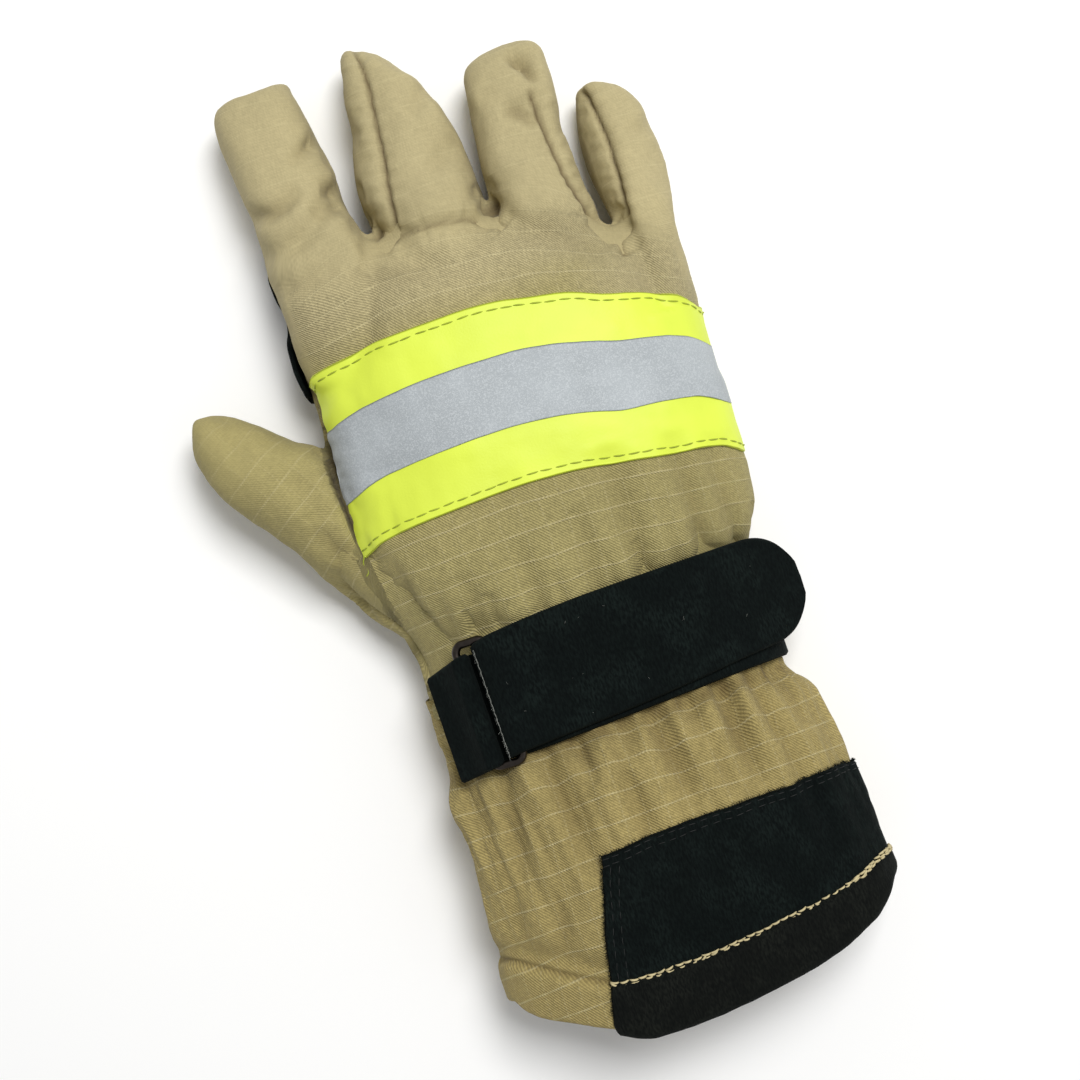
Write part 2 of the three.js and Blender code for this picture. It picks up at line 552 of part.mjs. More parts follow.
const always = (value) => () => value;
const holeRadius = RING_WIRE / 2 + SEAM_GAP;
const foldRadius = holeRadius + STRAP_THICKNESS;
const lowerTop = SEAM_GAP + STRAP_THICKNESS;
const barAway = SEAM_GAP + foldRadius;
const strapAngle = angleAt(RING_PLACE);
const anchorAngle = angleAt(RING_PLACE - RING_BAR_SPACING);
const strapBar = overWrist(strapAngle, barAway);
const anchorBar = overWrist(anchorAngle, barAway);
const barTilt = Math.atan2(strapBar[1] - anchorBar[1], strapBar[0] - anchorBar[0]);
const [clothX, clothZ] = overWrist(strapAngle, 0);

// Strap: a run sewn on at the side, a fold round the ring's bar and a run back over it.
const upward = Math.atan2(strapBar[1] - clothZ, strapBar[0] - clothX);
const foldOverlap = 0.15;
const fold = [
  ...arc(strapBar, foldRadius, upward - foldOverlap, upward + Math.PI + foldOverlap),
  ...arc(strapBar, holeRadius, upward - foldOverlap, upward + Math.PI + foldOverlap).toReversed(),
];
const lift = (angle) => Math.max(0, 1 - (strapAngle - angle) / STRAP_CLOSES) ** 2;
const upperInner = (angle) => lowerTop + SEAM_GAP + (2 * holeRadius - SEAM_GAP) * lift(angle);
const leaveAngle = angleAt(STRAP_LEAVES * halfCuff);
const upperRun = wristRun(leaveAngle, strapAngle, upperInner, (angle) => upperInner(angle) + STRAP_THICKNESS);
const [leaveX, leaveZ] = upperRun[0];
const endX = STRAP_REACH + STRAP_THICKNESS;
const endZ = leaveZ - STRAP_DROOP * (endX - leaveX);
const upperOutline = [...upperRun, [endX, endZ - STRAP_THICKNESS], [endX, endZ]];
const endCentre = [STRAP_REACH - STRAP_WIDTH / 2, RING_SHIFT];
const slant = THREE.MathUtils.degToRad(STRAP_SLANT);
const foldX = strapBar[0] - foldRadius;
const upperPlan = [
  [foldX, RING_SHIFT + STRAP_WIDTH / 2], [foldX, RING_SHIFT - STRAP_WIDTH / 2],
  ...arc(endCentre, STRAP_WIDTH / 2, -Math.PI / 2, Math.PI / 2),
].map(([x, y]) => {
  const point = new THREE.Vector2(x, y).rotateAround(new THREE.Vector2(RING_PLACE, RING_SHIFT), slant);
  return [point.x, point.y];
});
const sewnAngle = THREE.MathUtils.degToRad(STRAP_SEWN_AT);
const strap = joined([
  band(wristRun(sewnAngle, strapAngle, always(SEAM_GAP), always(lowerTop)), STRAP_WIDTH, RING_SHIFT),
  band(fold, STRAP_WIDTH, RING_SHIFT),
  band(upperOutline, 2 * STRAP_WIDTH, RING_SHIFT).intersect(prism(upperPlan, -FAR, FAR)),
]);

// Anchor: a tongue sewn down at the thumb's side, looped round the ring's other bar.
const anchorTop = SEAM_GAP + 2 * STRAP_THICKNESS;
const ridge = (angle) => Math.max(0, 1 - (angle - anchorAngle) / ANCHOR_CLOSES) ** 2;
const anchorOuter = (angle) => anchorTop + (barAway + foldRadius - anchorTop) * ridge(angle);
const anchor = joined([
  band(wristRun(anchorAngle, angleAt(ANCHOR_REACH), always(SEAM_GAP), anchorOuter), ANCHOR_WIDTH, RING_SHIFT),
  band(arc(anchorBar, foldRadius, 0, 2 * Math.PI).slice(1), ANCHOR_WIDTH, RING_SHIFT),
]).subtract(band(arc(anchorBar, holeRadius, 0, 2 * Math.PI).slice(1), 2 * ANCHOR_WIDTH, RING_SHIFT));

/** The rectangular ring, in the plane through both bars. */
function ringSolid() {
  const [cornerSteps, wireSides] = [4, 8];
  const halfAcross = Math.hypot(strapBar[0] - anchorBar[0], strapBar[1] - anchorBar[1]) / 2;
  const halfLong = (RING_INSIDE + RING_WIRE) / 2;
  const [cos, sin] = [Math.cos(barTilt), Math.sin(barTilt)];
  const rings = [];
  for (let corner = 0; corner < 4; corner++) {
    const [east, north] = [corner % 3 ? -1 : 1, corner < 2 ? 1 : -1];
    for (let k = 0; k <= cornerSteps; k++) {
      const turn = (corner + k / cornerSteps) * (Math.PI / 2);
      rings.push(Array.from({ length: wireSides }, (_, m) => {
        const angle = (2 * Math.PI * m) / wireSides;
        const reach = RING_CORNER + (RING_WIRE / 2) * Math.cos(angle);
        const across = east * (halfAcross - RING_CORNER) + reach * Math.cos(turn);
        const rise = (RING_WIRE / 2) * Math.sin(angle);
        return [
          (strapBar[0] + anchorBar[0]) / 2 + cos * across - sin * rise,
          RING_SHIFT + north * (halfLong - RING_CORNER) + reach * Math.sin(turn),
          (strapBar[1] + anchorBar[1]) / 2 + sin * across + cos * rise,
        ];
      }));
    }
  }
  return loft(rings, true);
}

const MATERIALS = {
  cloth: new THREE.MeshStandardMaterial({ color: 0xb09a68, roughness: 0.85, metalness: 0 }),
  suede: new THREE.MeshStandardMaterial({ color: 0x151a1a, roughness: 0.95, metalness: 0 }),
  fluorescent: new THREE.MeshStandardMaterial({ color: 0xe4f53c, roughness: 0.5, metalness: 0 }),
  reflective: new THREE.MeshStandardMaterial({ color: 0xb3b9bb, roughness: 0.4, metalness: 0.2 }),
  steel: new THREE.MeshStandardMaterial({ color: 0x6a6360, roughness: 0.35, metalness: 1 }),
};

const glove = new THREE.Group();

/** Adds a solid to the glove as a named mesh. */
function add(name, solid, material) {
  const { vertProperties, triVerts, numProp } = mainBody(solid).getMesh();
  const geometry = new THREE.BufferGeometry();
  const points = new THREE.InterleavedBuffer(vertProperties, numProp);
  geometry.setAttribute("position", new THREE.InterleavedBufferAttribute(points, 3, 0));
  geometry.setIndex(new THREE.BufferAttribute(triVerts, 1));
  const mesh = new THREE.Mesh(geometry, material);
  mesh.name = name;
  glove.add(mesh);
}

add("back_panel", backPanel, MATERIALS.cloth);
add("palm_panel", palmPanel, MATERIALS.cloth);
for (const [name, near, far] of pairs) {
  add(name, handShell.intersect(fourchetteCutter(near, far, 0)), MATERIALS.cloth);
}
add("thumb_shell", thumbShell, MATERIALS.cloth);
add("cuff_shell", cuffShell, MATERIALS.cloth);
add("cuff_hem", hemShell, MATERIALS.cloth);
add("palm_patch", palmPatch, MATERIALS.suede);
add("cuff_patch", cuffPatch, MATERIALS.suede);
add("hem_patch", hemPatch, MATERIALS.suede);
add("tape_backing", tape, MATERIALS.fluorescent);
add("tape_strip", strip, MATERIALS.reflective);
add("strap_anchor", anchor, MATERIALS.suede);
add("strap_ring", ringSolid(), MATERIALS.steel);
add("wrist_strap", strap, MATERIALS.suede);

// The origin goes to the middle of the footprint, at the surface that the glove rests on.
const bounds = new THREE.Box3().setFromObject(glove);
const centre = bounds.getCenter(new THREE.Vector3());
glove.position.set(-centre.x, -centre.y, -bounds.min.z);
glove.updateMatrixWorld(true);

export default glove;
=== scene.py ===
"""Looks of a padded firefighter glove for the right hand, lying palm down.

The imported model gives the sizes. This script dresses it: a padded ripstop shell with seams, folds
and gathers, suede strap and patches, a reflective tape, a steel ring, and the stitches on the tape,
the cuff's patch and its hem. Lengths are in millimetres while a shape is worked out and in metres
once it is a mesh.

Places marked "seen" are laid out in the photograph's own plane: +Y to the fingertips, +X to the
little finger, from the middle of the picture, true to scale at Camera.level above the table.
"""

from __future__ import annotations

import logging
import math
from dataclasses import dataclass, field
from enum import Enum
from typing import Callable, Sequence

import bpy
import numpy as np
from mathutils import Matrix, Vector
from mathutils.bvhtree import BVHTree
from mathutils.kdtree import KDTree

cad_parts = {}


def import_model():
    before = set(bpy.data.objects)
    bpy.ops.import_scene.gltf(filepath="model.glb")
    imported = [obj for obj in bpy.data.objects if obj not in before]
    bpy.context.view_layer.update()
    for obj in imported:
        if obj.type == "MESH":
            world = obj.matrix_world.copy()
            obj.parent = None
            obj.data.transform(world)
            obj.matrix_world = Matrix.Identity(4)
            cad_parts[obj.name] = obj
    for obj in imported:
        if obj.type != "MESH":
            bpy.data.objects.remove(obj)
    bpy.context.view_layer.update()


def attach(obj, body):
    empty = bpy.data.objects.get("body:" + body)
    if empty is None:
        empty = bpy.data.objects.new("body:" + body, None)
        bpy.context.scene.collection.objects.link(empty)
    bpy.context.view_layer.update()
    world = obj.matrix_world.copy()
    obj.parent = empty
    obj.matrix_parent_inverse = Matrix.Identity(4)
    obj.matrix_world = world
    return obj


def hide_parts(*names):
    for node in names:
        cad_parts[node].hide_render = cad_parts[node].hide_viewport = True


log = logging.getLogger("glove")

Array = np.ndarray
Table = Sequence[Sequence[float]]
Material = bpy.types.Material
Socket = bpy.types.NodeSocket
MM = 0.001
FAR = 1e9


# Small mathematics


def bend(value: Array, exponent: float) -> Array:
    """Signed power, which turns a circle's sine and cosine into a superellipse's.

    Args:
        value: Numbers from -1 to 1.
        exponent: The power.

    Returns:
        The powers, with the sign of each number.
    """
    return np.sign(value) * np.abs(value) ** exponent


def smoothstep(low: float, high: float, value: Array) -> Array:
    """Smooth rise from 0 at low to 1 at high.

    Args:
        low: Where the rise starts; it may lie above high, for a fall.
        high: Where the rise ends.
        value: Where to read it.

    Returns:
        Numbers from 0 to 1.
    """
    t = np.clip((value - low) / (high - low), 0, 1)
    return t * t * (3 - 2 * t)


def bell(away: Array, width: float | Array) -> Array:
    """Bell curve.

    Args:
        away: Distance from its middle.
        width: Distance at which it has fallen to 37 percent.

    Returns:
        Numbers from 0 to 1.
    """
    return np.exp(-((away / width) ** 2))


def spline(knots: Sequence[float], values: Sequence[float], at: Array) -> Array:
    """Smooth curve through table points that never overshoots them.

    Args:
        knots: Rising places of the table's rows.
        values: The column to read.
        at: Places to read it at.

    Returns:
        The column's value at each place.
    """
    x, y = np.asarray(knots, float), np.asarray(values, float)
    width = np.diff(x)
    rise = np.diff(y) / width
    slope = np.empty_like(y)
    slope[0], slope[-1] = rise[0], rise[-1]
    both = rise[:-1] * rise[1:]
    mean = 2 * both / np.where(np.abs(rise[:-1] + rise[1:]) < 1e-12, 1e-12, rise[:-1] + rise[1:])
    slope[1:-1] = np.where(both > 0, mean, 0)
    at = np.asarray(at, float)
    i = np.clip(np.searchsorted(x, at) - 1, 0, len(x) - 2)
    h = width[i]
    t = np.clip((at - x[i]) / h, 0, 1)
    s = 1 - t
    value = s * s * ((1 + 2 * t) * y[i] + t * h * slope[i])
    return value + t * t * ((3 - 2 * t) * y[i + 1] - s * h * slope[i + 1])


def column(table: Table, index: int) -> Array:
    """One column of a table of rows.

    Args:
        table: The rows.
        index: Which column.

    Returns:
        The column's numbers.
    """
    return np.array([row[index] for row in table], float)


def path_lengths(path: Array) -> Array:
    """Length of a path up to each of its points.

    Args:
        path: (n, 2) or (n, 3) points.

    Returns:
        (n,) lengths, from 0.
    """
    return np.concatenate([[0], np.cumsum(np.linalg.norm(np.diff(path, axis=0), axis=1))])


def unit(ways: Array) -> Array:
    """Directions of vectors.

    Args:
        ways: (..., k) vectors.

    Returns:
        The same with length 1.
    """
    return ways / np.maximum(np.linalg.norm(ways, axis=-1, keepdims=True), 1e-9)


def wander(place: Array, seed: int, scale: float) -> Array:
    """Smooth random wave along one coordinate, from about -1 to 1.

    Args:
        place: The coordinate.
        seed: Which wave.
        scale: Length over which it changes.

    Returns:
        The wave's height at each place.
    """
    random = np.random.default_rng(seed)
    total = np.zeros_like(place, dtype=float)
    for octave in range(3):
        rate, phase = random.uniform(0.7, 1.4) * 2**octave, random.uniform(0, 2 * math.pi)
        total += np.sin(place * rate * 2 * math.pi / scale + phase) / 2**octave
    return total / 1.75


# The photograph's camera


@dataclass(frozen=True)
class Camera:
    """The camera straight above the glove, and the plane in which the photograph was measured.

    Attributes:
        distance: Camera height above the table.
        level: Height at which seen places are true to scale.
        shift: Glove-frame place of the picture's middle.
        roll: Degrees by which the fingers point to the left of the picture's top.
        lens: Focal length for a 36 mm sensor.
    """

    distance: float = 570.0
    level: float = 22.0
    shift: tuple[float, float] = (9.5, -5.66)
    roll: float = 19.0
    lens: float = 61.93

    def scale(self, height: float | Array) -> Array:
        """How much further apart places at a height lie than they are seen.

        Args:
            height: Height above the table.

        Returns:
            The factor.
        """
        return (self.distance - np.asarray(height, float)) / (self.distance - self.level)

    def place(self, seen: Array, height: float | Array) -> Array:
        """Glove-frame plan place of what is seen at a place and lies at a height.

        Args:
            seen: Seen places, (..., 2).
            height: Height above the table.

        Returns:
            Plan places in the glove frame, (..., 2).
        """
        return np.asarray(seen, float) * self.scale(height)[..., None] + self.shift

    def seen(self, points: Array) -> Array:
        """Where points are seen.

        Args:
            points: Points in the glove frame, (n, 3).

        Returns:
            Seen places, (n, 2).
        """
        return (points[..., :2] - self.shift) / self.scale(points[..., 2])[..., None]

    def build(self) -> None:
        """Makes the camera."""
        data = bpy.data.cameras.new("camera")
        data.sensor_width, data.lens = 36.0, self.lens
        data.clip_start, data.clip_end = 0.01, 20.0
        camera = bpy.data.objects.new("camera", data)
        bpy.context.scene.collection.objects.link(camera)
        roll = math.radians(self.roll)
        right = Vector((math.cos(roll), -math.sin(roll), 0))
        up = Vector((math.sin(roll), math.cos(roll), 0))
        turn = Matrix((right, up, Vector((0, 0, 1)))).transposed()
        place = Vector((self.shift[0], self.shift[1], self.distance)) * MM
        camera.matrix_world = Matrix.Translation(place) @ turn.to_4x4()
        bpy.context.scene.camera = camera


CAMERA = Camera()


# Meshes


@dataclass
class Shape:
    """A mesh being worked out: points in millimetres and faces of three or four corners.

    Attributes:
        points: (n, 3) points.
        faces: Corner lists.
        layers: Named numbers per point, of one or three columns.
    """

    points: Array
    faces: Array | list
    layers: dict[str, Array] = field(default_factory=dict)

    def quads(self) -> Array:
        """The faces with four corners each; a triangle's last corner counts twice.

        Returns:
            (m, 4) indices.
        """
        return np.array([f if len(f) == 4 else (*f, f[-1]) for f in self.faces], int)

    def edges(self) -> Array:
        """Each face's sides as pairs of points, each inner one twice.

        Returns:
            (m, 2) indices.
        """
        quads = self.quads()
        pairs = np.concatenate([quads[:, [k, (k + 1) % 4]] for k in range(4)])
        return pairs[pairs[:, 0] != pairs[:, 1]]

    def normals(self) -> Array:
        """Outward unit normals at the points.

        Returns:
            (n, 3) normals.
        """
        quads = self.quads()
        p = self.points[quads]
        area = np.cross(p[:, 2] - p[:, 0], p[:, 3] - p[:, 1])
        total = np.zeros_like(self.points)
        for k in range(4):
            for axis in range(3):
                total[:, axis] += np.bincount(quads[:, k], area[:, axis], len(self.points))
        return unit(total)

    def tree(self) -> BVHTree:
        """Search tree for rays.

        Returns:
            The tree.
        """
        return BVHTree.FromPolygons(self.points.tolist(), [tuple(map(int, f)) for f in self.faces])


def spread(values: Array, pairs: Array, rounds: int, share: float = 0.5) -> Array:
    """Values averaged with their neighbours'.

    Args:
        values: (n,) or (n, k) values.
        pairs: Neighbour pairs.
        rounds: How many times.
        share: How far towards the neighbours' mean each round goes.

    Returns:
        The smoothed values.
    """
    flat = values.reshape(len(values), -1).astype(float)
    count = np.maximum(np.bincount(pairs.ravel(), minlength=len(flat)), 1)[:, None]
    for _ in range(rounds):
        total = np.empty_like(flat)
        for k in range(flat.shape[1]):
            total[:, k] = np.bincount(pairs[:, 0], flat[pairs[:, 1], k], len(flat))
            total[:, k] += np.bincount(pairs[:, 1], flat[pairs[:, 0], k], len(flat))
        flat = flat + share * (total / count - flat)
    return flat.reshape(values.shape)


def grid_faces(rows: int, columns: int, around: bool = False, flip: bool = False) -> Array:
    """Quads over a grid of points that is stored row by row.

    Args:
        rows: Points along.
        columns: Points across.
        around: Whether the last column joins the first.
        flip: Whether the faces look the other way.

    Returns:
        (m, 4) corners.
    """
    i = np.arange(rows - 1)[:, None] * columns
    j = np.arange(columns if around else columns - 1)[None, :]
    k = (j + 1) % columns
    quads = np.stack([i + j, i + columns + j, i + columns + k, i + k], axis=-1).reshape(-1, 4)
    return quads[:, ::-1] if flip else quads


def loft(rings: Array) -> Shape:
    """Closed shape through rings that turn from +X to +Z, listed towards +Y.

    Args:
        rings: (rows, sides, 3) points.

    Returns:
        The shape, with a fan at each end.
    """
    rows, sides = rings.shape[:2]
    faces = [tuple(f) for f in grid_faces(rows, sides, around=True)]
    points = np.concatenate([rings.reshape(-1, 3), rings[[0, -1]].mean(axis=1)])
    first, last = len(points) - 2, len(points) - 1
    for j in range(sides):
        k = (j + 1) % sides
        faces.append((first, j, k))
        faces.append((last, (rows - 1) * sides + k, (rows - 1) * sides + j))
    return Shape(points, faces)


def make_object(name: str, shape: Shape) -> bpy.types.Object:
    """Puts a shape into the scene, shaded smooth.

    Args:
        name: The object's name.
        shape: The shape.

    Returns:
        The new object.
    """
    mesh = bpy.data.meshes.new(name)
    mesh.from_pydata((shape.points * MM).tolist(), [], [tuple(map(int, f)) for f in shape.faces])
    mesh.polygons.foreach_set("use_smooth", np.ones(len(mesh.polygons), bool))
    for key, values in shape.layers.items():
        kind = "FLOAT" if values.ndim == 1 else "FLOAT_VECTOR"
        layer = mesh.attributes.new(key, kind, "POINT")
        layer.data.foreach_set(
            "value" if kind == "FLOAT" else "vector", values.astype(np.float32).ravel()
        )
    mesh.update()
    made = bpy.data.objects.new(name, mesh)
    bpy.context.scene.collection.objects.link(made)
    return made


def shape_of(mesh: bpy.types.Mesh) -> Shape:
    """A mesh's points and faces.

    Args:
        mesh: A mesh in metres.

    Returns:
        The same as a shape in millimetres.
    """
    points = np.empty(len(mesh.vertices) * 3)
    mesh.vertices.foreach_get("co", points)
    return Shape(points.reshape(-1, 3) / MM, [tuple(p.vertices) for p in mesh.polygons])


def evaluated(source: bpy.types.Object) -> Shape:
    """What an object's modifiers make of it. The object itself is removed.

    Args:
        source: The object.

    Returns:
        The shape with its modifiers applied.
    """
    graph = bpy.context.evaluated_depsgraph_get()
    mesh = bpy.data.meshes.new_from_object(source.evaluated_get(graph))
    made, old = shape_of(mesh), source.data
    bpy.data.objects.remove(source)
    for used in (old, mesh):
        bpy.data.meshes.remove(used)
    return made


def remeshed(shape: Shape, voxel: float) -> Shape:
    """The outer skin of overlapping closed shapes, as one even mesh.

    Args:
        shape: Closed shapes.
        voxel: Size of a cell.

    Returns:
        The skin.
    """
    source = make_object("remesh", shape)
    step = source.modifiers.new("skin", "REMESH")
    step.mode, step.voxel_size = "VOXEL", voxel * MM
    return evaluated(source)


# Finishes


def linear(code: str) -> tuple[float, float, float, float]:
    """An sRGB hex colour as the linear colour that shaders use.

    Args:
        code: Six hex digits.

    Returns:
        Red, green, blue and alpha.
    """
    parts = [int(code[i : i + 2], 16) / 255 for i in (0, 2, 4)]
    return (*(p / 12.92 if p <= 0.04045 else ((p + 0.055) / 1.055) ** 2.4 for p in parts), 1.0)


class Nodes:
    """A material's node tree, filled by one small function."""

    def __init__(self, name: str) -> None:
        """Starts a material with only its surface shader.

        Args:
            name: The material's name.
        """
        self.material = bpy.data.materials.new(name)
        self.material.use_nodes = True
        self.tree = self.material.node_tree
        self.shader = next(n for n in self.tree.nodes if n.type == "BSDF_PRINCIPLED")

    def add(self, kind: str, inputs: dict | None = None, out: int | str = 0, **settings) -> Socket:
        """Adds a node with its settings and links.

        Args:
            kind: The node's type, without its ShaderNode prefix.
            inputs: Input name or number to a value or a socket.
            out: Which output is wanted.
            **settings: The node's own settings.

        Returns:
            The wanted output.
        """
        node = self.tree.nodes.new("ShaderNode" + kind)
        for key, value in settings.items():
            setattr(node, key, value)
        for key, value in (inputs or {}).items():
            self.set(node.inputs[key], value)
        return node.outputs[out]

    def set(self, socket: Socket, value: object) -> None:
        """Links or sets one input.

        Args:
            socket: The input.
            value: A socket or a plain value.
        """
        if isinstance(value, Socket):
            self.tree.links.new(value, socket)
        else:
            socket.default_value = value

    def math(self, operation: str, *values: object) -> Socket:
        """One step of arithmetic.

        Args:
            operation: The operation's name.
            *values: Its numbers or sockets.

        Returns:
            The result.
        """
        return self.add("Math", dict(enumerate(values)), operation=operation)

    def plus(self, a: object, b: object) -> Socket:
        """Sum of two numbers or sockets a and b."""
        return self.math("ADD", a, b)

    def times(self, a: object, b: object) -> Socket:
        """Product of two numbers or sockets a and b."""
        return self.math("MULTIPLY", a, b)

    def tinted(self, colour: object, factor: object) -> Socket:
        """A colour made lighter or darker.

        Args:
            colour: The colour.
            factor: By how much, as a number's socket.

        Returns:
            The colour.
        """
        grey = self.add("CombineXYZ", {k: factor for k in range(3)})
        return self.mix(1.0, colour, grey, "MULTIPLY")

    def place(self) -> Socket:
        """Place in the object, in metres."""
        return self.add("TexCoord", out="Object")

    def finish(self, inputs: dict[str, object]) -> None:
        """Sets or links the surface shader's inputs.

        Args:
            inputs: Input name to a value or a socket.
        """
        for key, value in inputs.items():
            self.set(self.shader.inputs[key], value)

    def mix(self, share: object, a: object, b: object, blend: str = "MIX") -> Socket:
        """Mixes two colours.

        Args:
            share: How much of the second.
            a: First colour.
            b: Second colour.
            blend: How they mix.

        Returns:
            The colour.
        """
        return self.add("Mix", {0: share, 6: a, 7: b}, out=2, data_type="RGBA", blend_type=blend)

    def ramp(
        self, value: object, low: float, high: float, start: float = 0.0, end: float = 1.0
    ) -> Socket:
        """Smooth step of a number.

        Args:
            value: The number.
            low: Where the step starts.
            high: Where it ends.
            start: Value before it.
            end: Value after it.

        Returns:
            The stepped number.
        """
        inputs = {"Value": value, "From Min": low, "From Max": high, "To Min": start, "To Max": end}
        return self.add("MapRange", inputs, interpolation_type="SMOOTHSTEP")

    def noise(self, vector: object, scale: float, detail: float) -> Socket:
        """Smooth noise.

        Args:
            vector: Where it is read.
            scale: Cells per unit of the vector.
            detail: Octaves.

        Returns:
            The noise.
        """
        return self.add("TexNoise", {"Vector": vector, "Scale": scale, "Detail": detail})

    def layer(self, name: str, out: int | str = "Fac") -> Socket:
        """A mesh layer.

        Args:
            name: The layer's name.
            out: Which output is wanted.

        Returns:
            The layer's value.
        """
        return self.add("Attribute", out=out, attribute_name=name)

    def bump(self, height: object, size: float) -> None:
        """Raises the surface by a height.

        Args:
            height: Height from 0 to 1.
            size: What a height of 1 measures, in millimetres.
        """
        normal = self.add(
            "Bump", {"Strength": 1.0, "Distance": size * MM, "Height": height}, out="Normal"
        )
        self.set(self.shader.inputs["Normal"], normal)


@dataclass(frozen=True)
class RipstopCloth:
    """Undyed aramid cloth, woven as a fine twill with thicker yarns that cross in a grid.

    The eye gets a soft, dry surface with diagonal grain, pale raised yarns in squares and no shine.

    Attributes:
        hand: Colour on the hand's back.
        finger: Colour where the cloth is drawn over fingers and thumb.
        cuff: Colour on the cuff.
        yarn: Colour of the raised yarns.
        seam: Colour in the depth of a seam.
        twill: Distance between diagonal ribs.
        cross: Distance between yarns that run across.
        lengthwise: Distance between yarns that run along the hand.
    """

    hand: str = "A09563"
    finger: str = "AFA37B"
    cuff: str = "A0905C"
    yarn: str = "D2C698"
    # seam: Colour of painted shade, which the shade layer mixes in: in folds, gathers, under the strap     and along the hem, and in seam grooves, where it also stands for the thread.
    seam: str = "46321A"
    twill: float = 0.74
    cross: float = 8.2
    lengthwise: float = 6.4

    def material(self) -> Material:
        """Builds the material. It reads cloth (u, v in mm, ripstop strength) and tone (0 to 2).

        Returns:
            The material.
        """
        n = Nodes("aramid_ripstop_woven")
        split = n.tree.nodes.new("ShaderNodeSeparateXYZ")
        n.set(split.inputs[0], n.layer("cloth", "Vector"))
        u, v, bold = split.outputs
        tone = n.layer("tone")
        flat = n.add("CombineXYZ", {0: u, 1: v, 2: 0.0})
        drift = n.times(n.math("SUBTRACT", n.noise(flat, 0.035, 1.0), 0.5), 3.0)
        uneven = n.times(n.math("SUBTRACT", n.noise(flat, 1.3, 1.0), 0.5), 0.25)
        stray = n.plus(drift, uneven)
        across = self.yarns(n, (n.plus(v, stray), u), self.cross, 1.15, 0.55)
        along = self.yarns(n, (n.plus(u, stray), v), self.lengthwise, 1.5, 0.0)
        lines = n.times(n.math("MAXIMUM", across, n.times(along, 0.42)), bold)
        slant = n.times(n.plus(u, v), 2 * math.pi / self.twill / 1.414)
        rib = n.ramp(n.math("SINE", n.plus(slant, n.times(uneven, 9.0))), -1.0, 1.0)
        relief = n.times(n.math("SUBTRACT", rib, 0.55), n.ramp(bold, 0.25, 1.0, 0.04, 0.34))
        warp = n.noise(n.add("Mapping", {"Vector": flat, "Scale": (2.2, 0.35, 1.0)}), 1.0, 2.0)
        weft = n.noise(n.add("Mapping", {"Vector": flat, "Scale": (0.3, 2.4, 1.0)}), 1.0, 2.0)
        heather = n.plus(n.times(warp, 0.5), n.times(weft, 0.5))
        depth = n.ramp(bold, 0.25, 1.0, 0.09, 0.2)
        colour = n.mix(n.ramp(tone, 0.0, 1.0), linear(self.hand), linear(self.finger))
        colour = n.mix(n.ramp(tone, 1.0, 2.0), colour, linear(self.cuff))
        colour = n.tinted(colour, n.plus(1.0, n.times(n.ramp(heather, 0.3, 0.7, -1.0, 1.0), depth)))
        colour = n.tinted(colour, n.plus(relief, 1.0))
        colour = n.tinted(colour, n.ramp(n.noise(flat, 0.02, 3.0), 0.35, 0.65, 0.95, 1.05))
        colour = n.mix(n.times(lines, 0.6), colour, linear(self.yarn))
        # Painted shade: the shade layer darkens the cloth towards the seam colour in folds,
        # gathers, under the strap and in seams, where it is partly the thread's own colour.
        colour = n.mix(n.layer("shade"), colour, linear(self.seam))
        n.finish({"Base Color": colour, "Roughness": 0.88, "Specular IOR Level": 0.2})
        n.finish({"Sheen Weight": 0.05, "Sheen Roughness": 0.5})
        height = n.plus(n.times(lines, 0.75), n.times(relief, 1.6))
        n.bump(n.plus(height, n.times(heather, 0.35)), 0.3)
        return n.material

    @staticmethod
    def yarns(
        n: Nodes, course: tuple[object, object], pitch: float, dash: float, dip: float
    ) -> Socket:
        """Raised yarns that run one way.

        Args:
            n: The material's nodes.
            course: Places across the yarns and along them.
            pitch: Distance between yarns.
            dash: Distance between the places where a yarn dips under another.
            dip: How much of it shows there.

        Returns:
            0 between the yarns and up to 1 on them.
        """
        place = n.math("DIVIDE", course[0], pitch)
        away = n.times(n.math("ABSOLUTE", n.math("SUBTRACT", n.math("FRACT", place), 0.5)), pitch)
        each = n.add("CombineXYZ", {0: n.times(course[1], 0.16), 1: n.math("FLOOR", place)})
        slub = n.ramp(n.noise(each, 1.0, 2.0), 0.35, 0.6, 0.45, 1.0)
        beat = n.ramp(n.math("SINE", n.times(course[1], 2 * math.pi / dash)), -0.9, 0.5, dip, 1.0)
        return n.times(n.times(n.ramp(away, 0.1, 0.4, 1.0, 0.0), slub), beat)


@dataclass(frozen=True)
class Suede:
    """Split leather, dyed greenish black and brushed to a short nap.

    The nap lies in patches, so the eye gets cloudy light and dark areas without any gloss.

    Attributes:
        name: The material and how its surface was made.
        colour: Colour of the nap.
        light: Colour where the nap catches light.
    """

    name: str = "split_leather_brushed"
    colour: str = "060A0A"
    light: str = "161E1C"

    def material(self) -> Material:
        """Builds the material.

        Returns:
            The material.
        """
        n = Nodes(self.name)
        where = n.place()
        cloud = n.ramp(n.noise(where, 90.0, 4.0), 0.35, 0.7)
        brushed = {"Vector": where, "Rotation": (0.0, 0.0, 0.6), "Scale": (1.0, 0.35, 1.0)}
        fibre = n.noise(n.add("Mapping", brushed), 1900.0, 3.0)
        share = n.times(n.ramp(fibre, 0.3, 0.75), n.ramp(cloud, 0.0, 1.0, 0.35, 0.9))
        colour = n.mix(share, linear(self.colour), linear(self.light))
        n.finish({"Base Color": colour, "Roughness": 0.95, "Specular IOR Level": 0.08})
        n.finish({"Sheen Weight": 0.04, "Sheen Roughness": 0.6, "Sheen Tint": linear("7E8C86")})
        n.bump(n.plus(n.times(fibre, 0.7), n.times(n.noise(where, 420.0, 2.0), 0.6)), 0.28)
        return n.material


